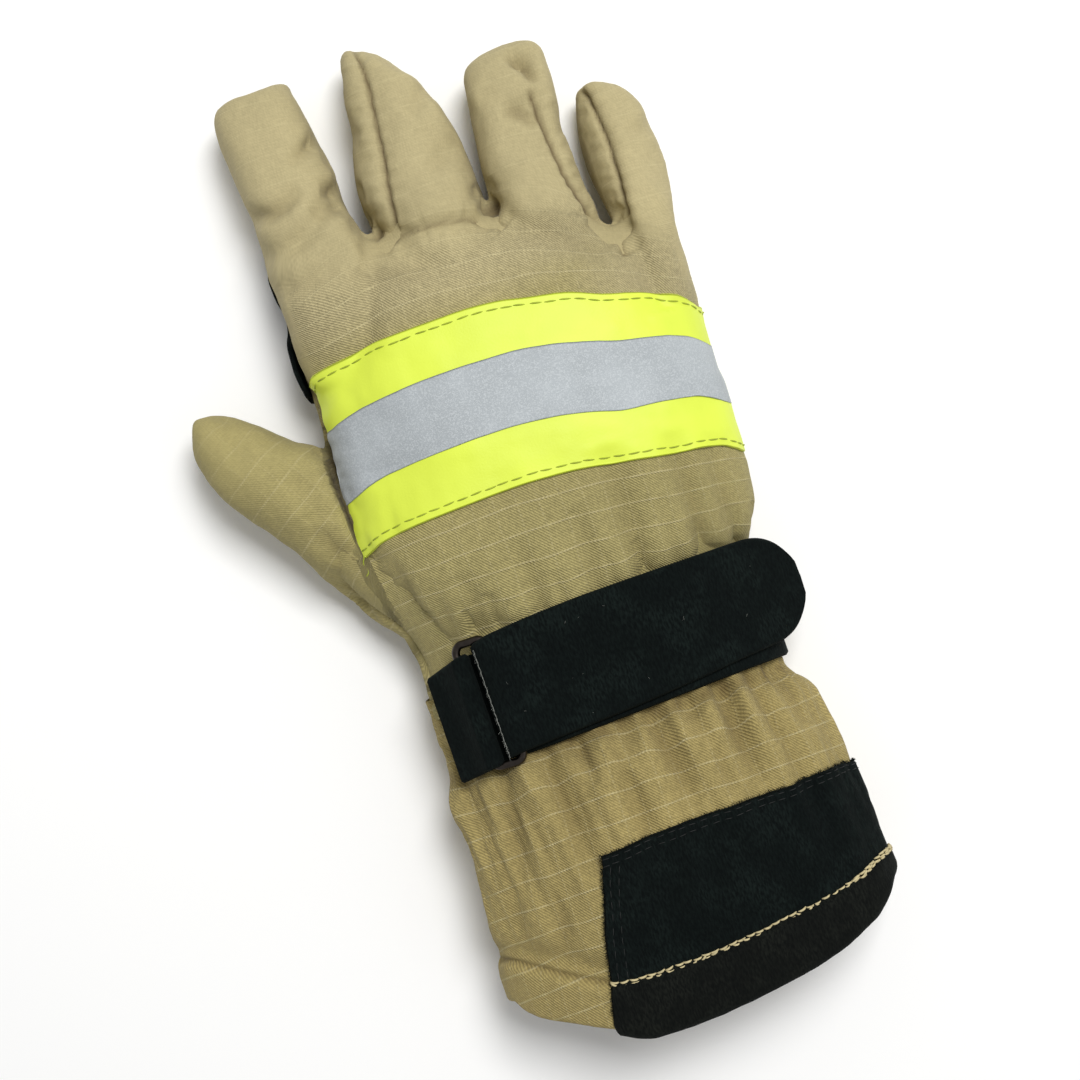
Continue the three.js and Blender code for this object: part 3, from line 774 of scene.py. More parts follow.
@dataclass(frozen=True)
class FluorescentTape:
    """Polyester trim dyed with a fluorescent yellow and calendered flat.

    The dye gives back more light than falls on it, so the eye gets a colour brighter than white
    cloth.

    Attributes:
        colour: Colour of the dye.
        glow: Strength of the light that the dye adds.
    """

    colour: str = "D3E347"
    glow: float = 0.1

    def material(self) -> Material:
        """Builds the material.

        Returns:
            The material.
        """
        n = Nodes("polyester_trim_fluorescent")
        where = n.place()
        soil = n.ramp(n.noise(where, 60.0, 3.0), 0.3, 0.75, 0.93, 1.02)
        n.finish({"Base Color": n.tinted(linear(self.colour), soil), "Roughness": 0.55})
        n.finish({"Emission Color": linear(self.colour), "Emission Strength": self.glow})
        n.bump(n.noise(where, 1500.0, 2.0), 0.05)
        return n.material


@dataclass(frozen=True)
class ReflectiveStrip:
    """Silver film of glass beads on cloth.

    Each bead throws light back, so the eye gets an even grey with a fine sparkle.

    Attributes:
        colour: Colour of the film.
        sparkle: Colour of the brightest beads.
    """

    colour: str = "A9AFB2"
    sparkle: str = "CBD0D2"

    def material(self) -> Material:
        """Builds the material.

        Returns:
            The material.
        """
        n = Nodes("glass_bead_film_laminated")
        where = n.place()
        bead = n.add("TexVoronoi", {"Vector": where, "Scale": 3600.0}, out="Color")
        bright = n.add("SeparateColor", {0: bead})
        share = n.ramp(bright, 0.3, 1.0, 0.0, 0.45)
        soil = n.ramp(n.noise(where, 75.0, 3.0), 0.3, 0.75, 0.9, 1.03)
        colour = n.mix(share, n.tinted(linear(self.colour), soil), linear(self.sparkle))
        n.finish({"Base Color": colour, "Roughness": 0.62, "Specular IOR Level": 0.3})
        n.bump(bright, 0.03)
        return n.material


@dataclass(frozen=True)
class PlainFinish:
    """A finish of one colour, for thread and wire.

    The eye gets a slightly uneven tone: matt on twisted thread, and a soft gleam on plated wire.

    Attributes:
        name: The material and how its surface was made.
        colour: Its colour.
        roughness: From 0, a mirror, to 1.
        metallic: 1 for a metal.
    """

    name: str
    colour: str
    roughness: float = 0.7
    metallic: float = 0.0

    def material(self) -> Material:
        """Builds the material.

        Returns:
            The material.
        """
        n = Nodes(self.name)
        where = n.place()
        vary = n.ramp(n.noise(where, 700.0, 2.0), 0.3, 0.7, 0.85, 1.1)
        n.finish({"Base Color": n.tinted(linear(self.colour), vary)})
        n.finish({"Roughness": self.roughness, "Metallic": self.metallic})
        return n.material


class Slot(Enum):
    """The record's material slots."""

    CLOTH = "aramid_cloth"
    SUEDE = "suede"
    TAPE = "fluorescent_tape"
    STRIP = "reflective_strip"
    STEEL = "dark_steel"


def made_by(
    finish: RipstopCloth | Suede | FluorescentTape | ReflectiveStrip | PlainFinish
) -> Material:
    """A field that holds a finish's material.

    Args:
        finish: The finish.

    Returns:
        The field.
    """
    return field(default_factory=finish.material)


@dataclass
class Wardrobe:
    """Every finish, built once."""

    cloth: Material = made_by(RipstopCloth())
    suede: Material = made_by(Suede())
    brown_suede: Material = made_by(Suede("split_leather_brushed_brown", "0A0C0B", "1D1F1B"))
    tape: Material = made_by(FluorescentTape())
    strip: Material = made_by(ReflectiveStrip())
    steel: Material = made_by(PlainFinish("steel_wire_black_nickel", "4A4440", 0.3, 1.0))
    khaki_thread: Material = made_by(PlainFinish("aramid_thread_twisted", "C4B68A"))
    olive_thread: Material = made_by(PlainFinish("aramid_thread_olive", "9DAA2E"))
    black_thread: Material = made_by(PlainFinish("aramid_thread_black", "0D100F"))
    fold_line_thread: Material = made_by(PlainFinish("aramid_thread_fold_line", "7C7E78"))
    brown_thread: Material = made_by(PlainFinish("aramid_thread_brown", "6E4A2E"))


def dress(
    name: str, shape: Shape, finish: Material, nodes: Sequence[str] = ()
) -> bpy.types.Object:
    """Makes a piece of the glove, with its finish and its place in the frame.

    Args:
        name: The piece's name.
        shape: Its shape.
        finish: Its material.
        nodes: The solids that it stands for.

    Returns:
        The piece.
    """
    piece = make_object(name, shape)
    piece.data.materials.append(finish)
    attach(piece, "root")
    if nodes:
        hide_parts(*nodes)
    log.info("%s: %d faces", name, len(piece.data.polygons))
    return piece


# Folds, seams and dents, drawn as lines in the seen plane


@dataclass(frozen=True)
class Fold:
    """A line along which the cloth rises or sinks.

    Attributes:
        path: Seen places along the line.
        depth: How far it sinks; below zero, it rises.
        width: Half width of the valley.
        lean: How much softer the slope on the left of the path is than on the right.
        dark: How much painted shade the fold gets for each millimetre of its depth.
    """

    path: Sequence[tuple[float, float]]
    depth: float
    width: float
    lean: float = 1.0
    dark: float = 0.09

    def read(self, seen: Array) -> tuple[Array, Array]:
        """How far the fold moves each place outwards, and how dark it is there.

        Args:
            seen: Seen places, (n, 2).

        Returns:
            (n,) heights, which taper to nothing at both ends, and (n,) shades.
        """
        away, along, side = line_distance(seen, self.path)
        width = self.width * np.where(side > 0, self.lean, 1.0)
        taper = np.sin(np.clip(along, 0, 1) * math.pi) ** 0.6
        valley = bell(away, width) * taper
        # The second value is painted shade, strongest in the middle of a deep fold.
        return -self.depth * valley, self.dark * max(self.depth, 0) * valley**2


@dataclass(frozen=True)
class Seam:
    """A sewn join: a narrow groove in a shallow valley, puckered by its stitches.

    Attributes:
        path: Seen places along the join.
        depth: Depth of the groove.
        width: Half width of the groove.
        valley: Depth of the valley.
        left: Half width of the valley on the path's left; right: on its right.
        pucker: Height of the puckers beside the join.
        pitch: Distance between puckers.
        dark: How dark the thread and the shade make the cloth in the groove.
    """

    path: Sequence[tuple[float, float]]
    depth: float = 1.2
    width: float = 0.95
    valley: float = 1.6
    left: float = 3.5
    right: float = 3.5
    pucker: float = 0.3
    pitch: float = 5.2
    dark: float = 0.75

    def read(self, seen: Array) -> tuple[Array, Array]:
        """How the seam moves and darkens each place.

        Args:
            seen: Seen places, (n, 2).

        Returns:
            (n,) heights and (n,) shades.
        """
        away, along, side = line_distance(seen, self.path)
        length = path_lengths(np.asarray(self.path, float))[-1]
        end = smoothstep(-0.02, 0.05, along) * smoothstep(1.02, 0.95, along)
        ripple = np.sin(
            along * length * 2 * math.pi / self.pitch + 2.5 * wander(along * length, 3, 31.0)
        )
        reach = np.where(side > 0, self.left, self.right)
        groove = self.depth * bell(away, self.width) + self.valley * bell(away, reach)
        beside = self.pucker * ripple * bell(away - 2, 3) * (away > 0.5)
        # The shade is the thread's own dark colour together with painted shade in the groove.
        return (beside - groove) * end, self.dark * bell(away, 0.75 * self.width) * end


def line_distance(places: Array, path: Table) -> tuple[Array, Array, Array]:
    """Distance to a line of straight pieces.

    Args:
        places: (n, 2) places.
        path: The line's corners.

    Returns:
        Distance, share of the line's length at the nearest point, and which side: 1 left, -1 right.
    """
    path = np.asarray(path, float)
    step = np.diff(path, axis=0)
    length, start = np.linalg.norm(step, axis=1), path_lengths(path)
    best = np.full(len(places), FAR)
    along, side = np.zeros(len(places)), np.ones(len(places))
    for k, (a, d, size) in enumerate(zip(path[:-1], step, length)):
        t = ((places - a) @ d) / max(size * size, 1e-9)
        low = -FAR if k == 0 else 0.0
        high = FAR if k == len(step) - 1 else 1.0
        held = np.clip(t, 0, 1)
        gap = np.linalg.norm(places - a - held[:, None] * d, axis=1)
        near = gap < best
        best = np.where(near, gap, best)
        along = np.where(near, (start[k] + np.clip(t, low, high) * size) / start[-1], along)
        turn = d[0] * (places[:, 1] - a[1]) - d[1] * (places[:, 0] - a[0])
        side = np.where(near, np.sign(turn), side)
    return best, along, side


# The cloth shell


@dataclass(frozen=True)
class Tube:
    """A padded tube, by rows of its outline as seen from above.

    Attributes:
        name: What it is.
        rows: Seen place along, seen left and right edge, height of the middle, half depth.
        turn: Degrees to the left of +Y that it points, with its rows laid out from root.
        root: Seen place that the rows start from.
        roundness: Exponent of the section's superellipse.
        trim: How much smaller it starts than its rows, because it swells while it settles.
    """

    name: str
    rows: Table
    turn: float = 0.0
    root: tuple[float, float] = (0.0, 0.0)
    roundness: float = 2.3
    trim: float = 0.2

    def read(self, index: int, at: Array) -> Array:
        """A column of the table at places between its rows.

        Args:
            index: Which column.
            at: Row numbers, whole or not.

        Returns:
            The column's values.
        """
        return spline(range(len(self.rows)), column(self.rows, index), at)

    def at_along(self, along: Array) -> Array:
        """Row numbers for places along the tube.

        Args:
            along: Places along.

        Returns:
            Row numbers.
        """
        fine = np.linspace(0, len(self.rows) - 1, 400)
        return np.interp(along, self.read(0, fine), fine)

    def outward(self, plan: Array, height: Array) -> Array:
        """Glove-frame plan places from the tube's own.

        Args:
            plan: (..., 2) places across and along, as seen.
            height: Heights of the tube's middle line there.

        Returns:
            (..., 2) places in the glove frame.
        """
        a = math.radians(self.turn)
        x = math.cos(a) * plan[..., 0] - math.sin(a) * plan[..., 1] + self.root[0]
        y = math.sin(a) * plan[..., 0] + math.cos(a) * plan[..., 1] + self.root[1]
        return CAMERA.place(np.stack([x, y], axis=-1), np.broadcast_to(height, x.shape))

    def inward(self, points: Array) -> tuple[Array, Array]:
        """The tube's own places across and along, from the glove frame's.

        Args:
            points: (n, 3) points.

        Returns:
            Places across and along.
        """
        a = math.radians(self.turn)
        mid: Array | float = CAMERA.level - 4  # a first guess, about right for every tube
        for _ in range(2):
            scale = np.reshape(CAMERA.scale(mid), (-1, 1))
            seen = (points[:, :2] - CAMERA.shift) / scale - self.root
            across = math.cos(a) * seen[:, 0] + math.sin(a) * seen[:, 1]
            along = -math.sin(a) * seen[:, 0] + math.cos(a) * seen[:, 1]
            mid = self.read(3, self.at_along(along))
        return across, along

    def rings(self, count: int, sides: int, inset: float = 0.0) -> Array:
        """Dense section rings.

        Args:
            count: How many rings.
            sides: Points on each.
            inset: Distance by which the tube is shrunk.

        Returns:
            (count, sides, 3) points.
        """
        at = np.linspace(0, len(self.rows) - 1, count)
        along, left, right, mid, deep = (self.read(k, at)[:, None] for k in range(5))
        angle = np.linspace(0, 2 * math.pi, sides, endpoint=False)[None, :]
        half = np.maximum((right - left) / 2 - inset, 0.5)
        x = (left + right) / 2 + half * bend(np.cos(angle), 2 / self.roundness)
        y = np.broadcast_to(along - inset * (at[:, None] / at[-1]), x.shape)
        z = mid + np.maximum(deep - inset, 0.5) * bend(np.sin(angle), 2 / self.roundness)
        plan = self.outward(np.stack([x, y], axis=-1), mid)
        return np.concatenate([plan, soft_floor(z - inset, 0.8)[..., None] + inset], axis=-1)

    def near(self, points: Array) -> tuple[Array, Array, Array]:
        """How the points lie round the tube.

        Args:
            points: (n, 3) points.

        Returns:
            Distance from the skin, cloth coordinate across and cloth coordinate along.
        """
        across, along = self.inward(points)
        at = self.at_along(along)
        left, right, mid, deep = (self.read(k, at) for k in range(1, 5))
        middle, half = (left + right) / 2, np.maximum((right - left) / 2, 1.0)
        a, b = np.abs(across - middle) / half, np.abs(points[:, 2] - mid) / np.maximum(deep, 1.0)
        radius = (a**self.roundness + b**self.roundness) ** (1 / self.roundness)
        first, last = self.rows[0][0], self.rows[-1][0]
        beyond = np.maximum(np.maximum(along - last, first - along), 0)
        offset = np.abs(radius - 1) * np.minimum(half, deep) + beyond
        return offset, cloth_across(across, points[:, 2], left, right, mid + deep), along


def cloth_across(x: Array, z: Array, left: Array, right: Array, top: Array) -> Array:
    """Place across a cloth that lies over a tube.

    Args:
        x: Places across.
        z: Heights.
        left: Left edge of the tube.
        right: Right edge of the tube.
        top: Height of its top.

    Returns:
        Places across the cloth.
    """
    side = np.clip((x - (left + right) / 2) / np.maximum(0.3 * (right - left), 1.0), -1, 1)
    return x + side * 0.7 * np.maximum(top - z, 0)


def soft_floor(height: Array, softness: float) -> Array:
    """Heights that never go below the table, and flatten gently where they would.

    Args:
        height: Heights.
        softness: How gently.

    Returns:
        Heights of zero and more.
    """
    return 0.5 * (height + np.sqrt(height * height + 4 * softness * softness)) - 0.02


INDEX = Tube(
    "index",
    (
        (62, -49, -21, 22.5, 16.5),
        (74, -49.8, -18, 22.8, 18),
        (88, -49.4, -16.6, 22.4, 18.2),
        (96, -49.6, -18, 21.6, 17.7),
        (104, -49.8, -19.8, 20.4, 17),
        (112, -50.2, -21.4, 19.2, 16.5),
        (119, -50.8, -22.6, 18, 16),
        (129, -51.9, -24.6, 16.4, 15.6),
        (138, -52.9, -26.4, 15.2, 15),
        (143, -52.8, -27.3, 14.4, 14.2),
        (146, -52, -28, 13.8, 13.2),
        (148, -50, -28.6, 13.4, 11.6),
        (148.8, -45, -28, 13.2, 9.4),
        (149.9, -39, -29.2, 13, 6.2),
        (150.5, -35, -30.6, 13, 2),
    ),
    roundness=2.9,
)
MIDDLE = Tube(
    "middle",
    (
        (62, -15, 15, 22.5, 16.5),
        (74, -16, 18, 23, 18.2),
        (86, -16, 18.6, 22.8, 18.6),
        (97, -15.8, 17.6, 22.1, 17.9),
        (104, -17, 16.9, 21.4, 17.5),
        (112, -17.8, 16.4, 20.2, 17),
        (119, -17.4, 15.9, 19.2, 16.5),
        (128, -15.5, 14.5, 17.8, 16),
        (134, -14.3, 12, 16.8, 15.5),
        (139.5, -13.1, 9.6, 15.6, 15),
        (144.5, -12, 5.8, 14.6, 14.2),
        (148.4, -11, 3.3, 13.8, 12.8),
        (151.4, -10.1, 0, 13.2, 10.4),
        (153.3, -9, -2.6, 13, 7),
        (154.3, -7.7, -4.8, 13, 2.4),
    ),
    roundness=2.15,
)
RING = Tube(
    "ring",
    (
        (58, 21, 46.6, 22.2, 15.5),
        (70, 19.6, 48, 22.4, 17.4),
        (84, 19.2, 48, 21.8, 17.4),
        (94, 18.4, 46.6, 20.8, 16.7),
        (103, 18.4, 46, 19.6, 16),
        (112, 18.7, 45.9, 18.2, 15.1),
        (120, 19.8, 47.4, 16.8, 14.9),
        (127, 20.9, 47.8, 15.4, 14.7),
        (131, 21.8, 47.6, 14.4, 14),
        (134.4, 22.8, 47.4, 13.6, 12.9),
        (137, 24.4, 46.6, 13.2, 11.2),
        (138.6, 27.6, 45, 13, 8.8),
        (139.6, 31, 42, 12.8, 5.6),
        (140.1, 34, 39, 12.8, 2),
    ),
    roundness=2.8,
)
LITTLE = Tube(
    "little",
    (
        (40, 47, 63, 21.5, 12),
        (52, 49, 67, 21.6, 15.8),
        (62, 50.2, 68, 21.4, 16.8),
        (72, 50.6, 68, 20.4, 16.2),
        (82, 50.2, 69.1, 19.2, 15.8),
        (91, 49.4, 70, 17.6, 15.2),
        (100, 48.8, 70.6, 15.6, 14.8),
        (107, 49, 70.1, 14, 13.8),
        (112.5, 50, 68.4, 13.2, 12.8),
        (117, 51.2, 65.7, 12.4, 11.4),
        (119.8, 52, 62.6, 12.2, 9.2),
        (121.6, 52.9, 59.4, 12, 6.2),
        (122.4, 54, 57, 12, 2),
    ),
    roundness=2.3,
)
THUMB = Tube(
    "thumb",
    (
        (-2, -14, 10, 19.2, 13),
        (8, -16.2, 16, 19.2, 15.6),
        (18, -15.6, 18.4, 19.2, 16.8),
        (30, -13.9, 19.2, 19.1, 16.8),
        (40, -13.1, 20, 19, 16.4),
        (48, -13.1, 20.4, 18.8, 16),
        (55, -13.4, 18.9, 18.5, 15.4),
        (62, -13.3, 15.8, 18.2, 14.8),
        (68, -12.5, 13.9, 17.9, 14),
        (74, -10.9, 12.2, 17.6, 12.8),
        (79, -8.9, 10.3, 17.3, 11.2),
        (82.6, -6, 8, 17.1, 9),
        (85.4, -2.6, 5.3, 17, 6),
        (86.9, 0.2, 2.6, 17, 2.2),
    ),
    turn=35.5,
    root=(-36.7, -6.0),
    roundness=2.3,
    trim=1.5,
)


@dataclass(frozen=True)
class Body:
    """A wide tube along Y that rests on the table: the hand or the cuff.

    Attributes:
        rows: Seen place along, seen left and right edge, top and bottom height.
        lag: Seen place along and how far the right edge's rows fall back there.
        peak: Seen place across of the rows' foremost point.
        roundness: Exponent of the section's superellipse.
        waist: Height of the widest point, as a share of the top's.
        deepen: How much deeper the lower half would reach if the table weren't there.
    """

    rows: Table
    lag: Table
    peak: float = -15.0
    roundness: float = 2.4
    waist: float = 0.45
    deepen: float = 1.12

    def at(self, along: Array) -> tuple[Array, Array, Array, Array]:
        """The outline at places along.

        Args:
            along: Seen places along.

        Returns:
            Left and right edge, top and bottom height.
        """
        knots = column(self.rows, 0)
        left, right, top, bottom = (spline(knots, column(self.rows, k), along) for k in range(1, 5))
        return left, right, top, bottom

    def fall(self, along: Array) -> Array:
        """How far the rows fall back at the right edge.

        Args:
            along: Row places.

        Returns:
            Distances.
        """
        return np.interp(along, column(self.lag, 0), column(self.lag, 1))

    def share(self, x: Array, left: Array, right: Array) -> Array:
        """How much of its fall a row has reached, before it is squared.

        Args:
            x: Seen places across.
            left: Left edge there.
            right: Right edge there.

        Returns:
            0 at the peak, 1 at the right edge and half of that at the left.
        """
        way = x - self.peak
        return np.where(x > self.peak, way / (right - self.peak), 0.5 * way / (left - self.peak))

    def point(self, along: Array, angle: Array, inset: float = 0.0) -> Array:
        """Points of the surface.

        Args:
            along: Row places.
            angle: Section angles, from +X over +Z.
            inset: Distance by which the tube is shrunk.

        Returns:
            (..., 3) points in the glove frame.
        """
        along, angle = np.broadcast_arrays(np.asarray(along, float), np.asarray(angle, float))
        left, right, top, bottom = self.at(along)
        half = (right - left) / 2 - inset
        x = (left + right) / 2 + half * bend(np.cos(angle), 2 / self.roundness)
        rise = bend(np.sin(angle), 2 / self.roundness)
        mid = self.waist * top
        up = mid + (top - mid - inset) * rise
        down = mid + (mid - bottom - inset) * self.deepen * rise
        z = np.where(rise > 0, up, bottom + inset + soft_floor(down - bottom - inset, 0.7))
        y = along - self.fall(along) * self.share(x, left, right) ** 2
        plan = CAMERA.place(np.stack([x, y], axis=-1), np.full(x.shape, CAMERA.level))
        return np.concatenate([plan, z[..., None]], axis=-1)

    def height(self, along: Array, angle: Array) -> Array:
        """Heights of the surface.

        Args:
            along: Row places.
            angle: Section angles.

        Returns:
            Heights.
        """
        return self.point(along, angle)[..., 2]

    def along_at(self, seen: Array) -> Array:
        """Row places of seen places.

        Args:
            seen: Seen places, (n, 2).

        Returns:
            (n,) row places.
        """
        along = seen[:, 1].copy()
        for _ in range(3):
            left, right, _, _ = self.at(along)
            share = self.share(seen[:, 0], left, right)
            along = seen[:, 1] + self.fall(along) * np.clip(share, -1, 1) ** 2
        return along

    def angle_at(self, along: Array, x: Array) -> Array:
        """Section angle on the top half of a seen place across.

        Args:
            along: Row places.
            x: Seen places across.

        Returns:
            Angles.
        """
        left, right, _, _ = self.at(along)
        share = np.clip((x - (left + right) / 2) / ((right - left) / 2), -1, 1)
        return np.arccos(np.clip(bend(share, self.roundness / 2), -1, 1))

    def girth(self, points: Array) -> Array:
        """Place across the cloth, which runs on down the sides and back under the body.

        Args:
            points: (n, 3) points.

        Returns:
            (n,) places across, positive to the right.
        """
        seen = CAMERA.seen(points)
        left, right, top, _ = self.at(self.along_at(seen))
        return cloth_across(seen[:, 0], points[:, 2], left, right, top)


HAND = Body(
    (
        (-41, -48, 56.6, 41, 1.6),
        (-22, -47.2, 57, 41, 1.4),
        (-16, -48.4, 59.4, 43, 0.8),
        (-8, -51, 62.3, 45, 0.3),
        (0, -52.6, 64, 46, 0),
        (11, -53.4, 64.8, 46.4, 0),
        (28, -52.2, 65.4, 46.4, 0),
        (48, -50.8, 66.4, 46, 0),
        (62, -50.3, 67.4, 45, 0),
        (78, -49.6, 68, 42.6, 0),
        (88, -48.4, 67.4, 39.6, 0),
        (95, -46, 65.4, 35.8, 1),
        (99.5, -42.5, 62, 31, 3),
        (102, -38, 56, 26, 7),
    ),
    ((-41, 0), (-10, 2.5), (11, 8), (48, 13), (78, 19), (95, 25), (102, 27)),
)
CUFF = Body(
    (
        (-150, -51.4, 66.6, 49.2, 0),
        (-140, -52.2, 67, 50.4, 0),
        (-128, -52.3, 66.6, 51.2, 0),
        (-118, -52, 66, 51.6, 0),
        (-105, -51.6, 65.3, 51.4, 0),
        (-91, -49.6, 64.3, 50.6, 0),
        (-79, -49, 63.6, 49, 0),
        (-70, -49.4, 62, 46.6, 0.4),
        (-63, -48.6, 59.4, 43.4, 1),
        (-58, -48, 57, 41, 1.6),
        (-34, -47.2, 56, 40.6, 1.8),
    ),
    ((-150, 0), (-34, 0)),
)
RIM = (
    (-54, -126), (-51.5, -127.5), (-49.5, -131), (-45, -135), (-35, -140.5), (-25, -145.5),
    (-20, -148.2),
    (-15, -149.6), (-5, -150), (5, -149.5), (20, -147.8), (35, -145.5), (45, -143), (52, -140),
    (58, -137),
    (63, -132.5), (66, -128), (68.5, -124),
)
TAPE_TOP = (
    (-54, 64.5), (-48.5, 65.5), (-45, 67.5), (-35, 69.5), (-25, 70.8), (0, 71.2), (10, 70.5),
    (20, 68.5),
    (30, 66.5), (40, 62.5), (47, 60.5), (55, 58), (60, 55.5), (64, 52), (66.5, 49.5), (70, 47.5),
)
STRIP_TOP = (
    (-54, 48.5), (-49.5, 50), (-35, 54), (-10, 55.6), (10, 55), (20, 53.5), (30, 51), (40, 47.8),
    (50, 45.5), (58, 43), (65.5, 38), (70, 35.5),
)
STRIP_LOW = (
    (-54, 27), (-50.3, 28), (-35, 32.5), (-20, 33.8), (0, 34.1), (15, 32.8), (25, 30.8), (35, 28),
    (45, 26.8), (55, 25), (64.5, 20), (70, 18),
)
TAPE_LOW = (
    (-54, 10.5), (-51.5, 11.5), (-40, 14.8), (-30, 15.8), (0, 16.9), (10, 16.4), (20, 15.4),
    (30, 13.7),
    (40, 11.8), (50, 10.5), (58, 9), (64.5, 5), (70, 3.5),
)
HEM_LINE = (
    (-54, -113), (-50.5, -114.5), (-45, -118), (-40, -121), (-30, -127), (-21, -131.2), (-15, -132),
    (-5, -132.2),
    (5, -132), (15, -131.3), (25, -130.3), (35, -129), (45, -127.5), (55, -125), (60, -123),
    (64, -121), (68.5, -119),
)


def read_line(line: Table, x: Array) -> Array:
    """Height of a drawn line at places across.

    Args:
        line: Its (x, y) points, from left to right.
        x: Places across.

    Returns:
        The line's y at each.
    """
    return spline(column(line, 0), column(line, 1), x)


def drawn(line: Table, x: Array, height: Array) -> Array:
    """Where a seen line runs on a surface of some height.

    Args:
        line: Its seen points, from left to right.
        x: Places across, from the camera's axis.
        height: Heights of the surface.

    Returns:
        Places along, from the camera's axis.
    """
    scale = CAMERA.scale(height)
    return read_line(line, x / scale) * scale


def project(tree: BVHTree, seen: Array) -> tuple[Array, Array]:
    """Where the camera's rays through seen places meet a surface.

    Args:
        tree: The surface.
        seen: Seen places, (n, 2).

    Returns:
        Points and unit normals, (n, 3) each.
    """
    eye = Vector((*CAMERA.shift, CAMERA.distance))
    points, normals = [], []
    for x, y in np.asarray(seen, float):
        aim = Vector((x + CAMERA.shift[0], y + CAMERA.shift[1], CAMERA.level)) - eye
        hit, normal, _, _ = tree.ray_cast(eye, aim)
        if hit is None:
            hit, normal, _, _ = tree.find_nearest(eye + aim)
        points.append(hit)
        normals.append(normal)
    return np.array(points), np.array(normals)


def laid(tree: BVHTree, guess: Array, middle: Array) -> tuple[Array, Array]:
    """A grid laid on a skin like a stiff cloth: it bridges grooves and follows the form.

    Args:
        tree: The skin.
        guess: (rows, columns, 3) grid close to the skin, with the outline that is wanted.
        middle: As many points on the middle line of the tube that the skin encloses.

    Returns:
        Points and unit normals, shaped as the grid.
    """
    # Level rays start close by, so that they miss the thumb. What they find there and beside the
    # thumb's root is held near the column's usual height.
    slack, root_along, root_lean, level_lean, play = 4.5, 44, 0.88, 0.5, 0.4
    aim = unit(guess - middle)
    offset = np.zeros(guess.shape[:2])
    reach = slack * (0.25 + 0.75 * np.clip(aim[..., 2] * 1.4, 0, 1))
    for k in np.ndindex(offset.shape):
        start = Vector(guess[k] + aim[k] * reach[k])
        hit, _, _, distance = tree.ray_cast(start, Vector(-aim[k]), 2 * slack)
        offset[k] = reach[k] - distance if hit is not None else np.nan
    offset = np.where(np.isnan(offset), np.nanmedian(offset), offset)
    usual = np.median(offset, axis=0)
    by_thumb = (aim[..., 2] < root_lean) & (guess[..., 1] < root_along)
    held = by_thumb | (aim[..., 2] < level_lean)
    offset = np.where(held, np.clip(offset, usual - play, usual + play), offset)[..., None]
    even = smoothed(offset, 10)
    for _ in range(4):
        even = smoothed(np.maximum(even, offset + 0.1), 2)
    even = np.maximum(even, offset)
    points = guess + aim * even
    along, across = np.gradient(points, axis=0), np.gradient(points, axis=1)
    normals = unit(np.cross(along, across))
    normals *= np.sign((normals * aim).sum(axis=-1, keepdims=True))
    return points, normals


def slab(points: Array, normals: Array, thickness: float, lift: float = 0.05) -> Shape:
    """A sheet with rounded edges that lies on a surface.

    Args:
        points: (rows, columns, 3) grid on the surface.
        normals: Its normals.
        thickness: The sheet's thickness.
        lift: Its clearance from the surface.

    Returns:
        The closed sheet.
    """
    rows, cols = points.shape[:2]
    inner = points.copy()
    pull = 0.4 * thickness
    for edge, beside in ((0, 1), (-1, -2)):
        inner[edge] = inner[edge] + pull * unit(points[beside] - points[edge])
    for edge, beside in ((0, 1), (-1, -2)):
        inner[:, edge] = inner[:, edge] + pull * unit(points[:, beside] - points[:, edge])
    top = inner + normals * (lift + thickness)
    low = inner + normals * lift
    border = [(0, j) for j in range(cols)] + [(i, cols - 1) for i in range(1, rows)]
    border += [(rows - 1, j) for j in range(cols - 2, -1, -1)] + [
        (i, 0) for i in range(rows - 2, 0, -1)
    ]
    rim = np.array([points[b] + normals[b] * (lift + 0.55 * thickness) for b in border])
    count = rows * cols
    faces = [tuple(f) for f in grid_faces(rows, cols)] + [
        tuple(f + count) for f in grid_faces(rows, cols, flip=True)
    ]
    for k, b in enumerate(border):
        c = border[(k + 1) % len(border)]
        one, two = b[0] * cols + b[1], c[0] * cols + c[1]
        mid, far = 2 * count + k, 2 * count + (k + 1) % len(border)
        faces.append((two, one, mid, far))
        faces.append((far, mid, one + count, two + count))
    return facing_out(Shape(np.concatenate([top.reshape(-1, 3), low.reshape(-1, 3), rim]), faces))


def facing_out(shape: Shape) -> Shape:
    """A closed shape with its faces turned outwards.

    Args:
        shape: A closed shape.

    Returns:
        The same shape, turned over if it was inside out.
    """
    volume = 0.0
    for face in shape.faces:
        a, b, c = shape.points[face[0]], shape.points[face[1]], shape.points[face[2]]
        volume += float(np.dot(a, np.cross(b, c)))
        if len(face) == 4:
            volume += float(np.dot(a, np.cross(c, shape.points[face[3]])))
    if volume < 0:
        shape.faces = [tuple(reversed(f)) for f in shape.faces]
    return shape


def sweep(path: Array, radius: Array | float, sides: int = 6) -> Shape:
    """A round wire or thread along a path.

    Args:
        path: (n, 3) points.
        radius: Its radius, for each point or for all.
        sides: Sides of its section.

    Returns:
        The closed wire.
    """
    path = np.asarray(path, float)
    way = unit(np.gradient(path, axis=0))
    side = np.cross(way, [0.0, 0.0, 1.0])
    side += (np.linalg.norm(side, axis=1) < 1e-3)[:, None] * np.array([1.0, 0.0, 0.0])
    side = unit(side)
    up = np.cross(side, way)
    angle = np.linspace(0, 2 * math.pi, sides, endpoint=False)
    reach = np.broadcast_to(radius, len(path))[:, None, None]
    cos, sin = np.cos(angle)[None, :, None], np.sin(angle)[None, :, None]
    return facing_out(loft(path[:, None] + reach * (cos * side[:, None] + sin * up[:, None])))


def merged(shapes: Sequence[Shape]) -> Shape:
    """Many shapes as one mesh.

    Args:
        shapes: The shapes.

    Returns:
        One shape.
    """
    points, faces, count = [], [], 0
    for shape in shapes:
        points.append(shape.points)
        faces.extend(tuple(c + count for c in f) for f in shape.faces)
        count += len(shape.points)
    return Shape(np.concatenate(points), faces)


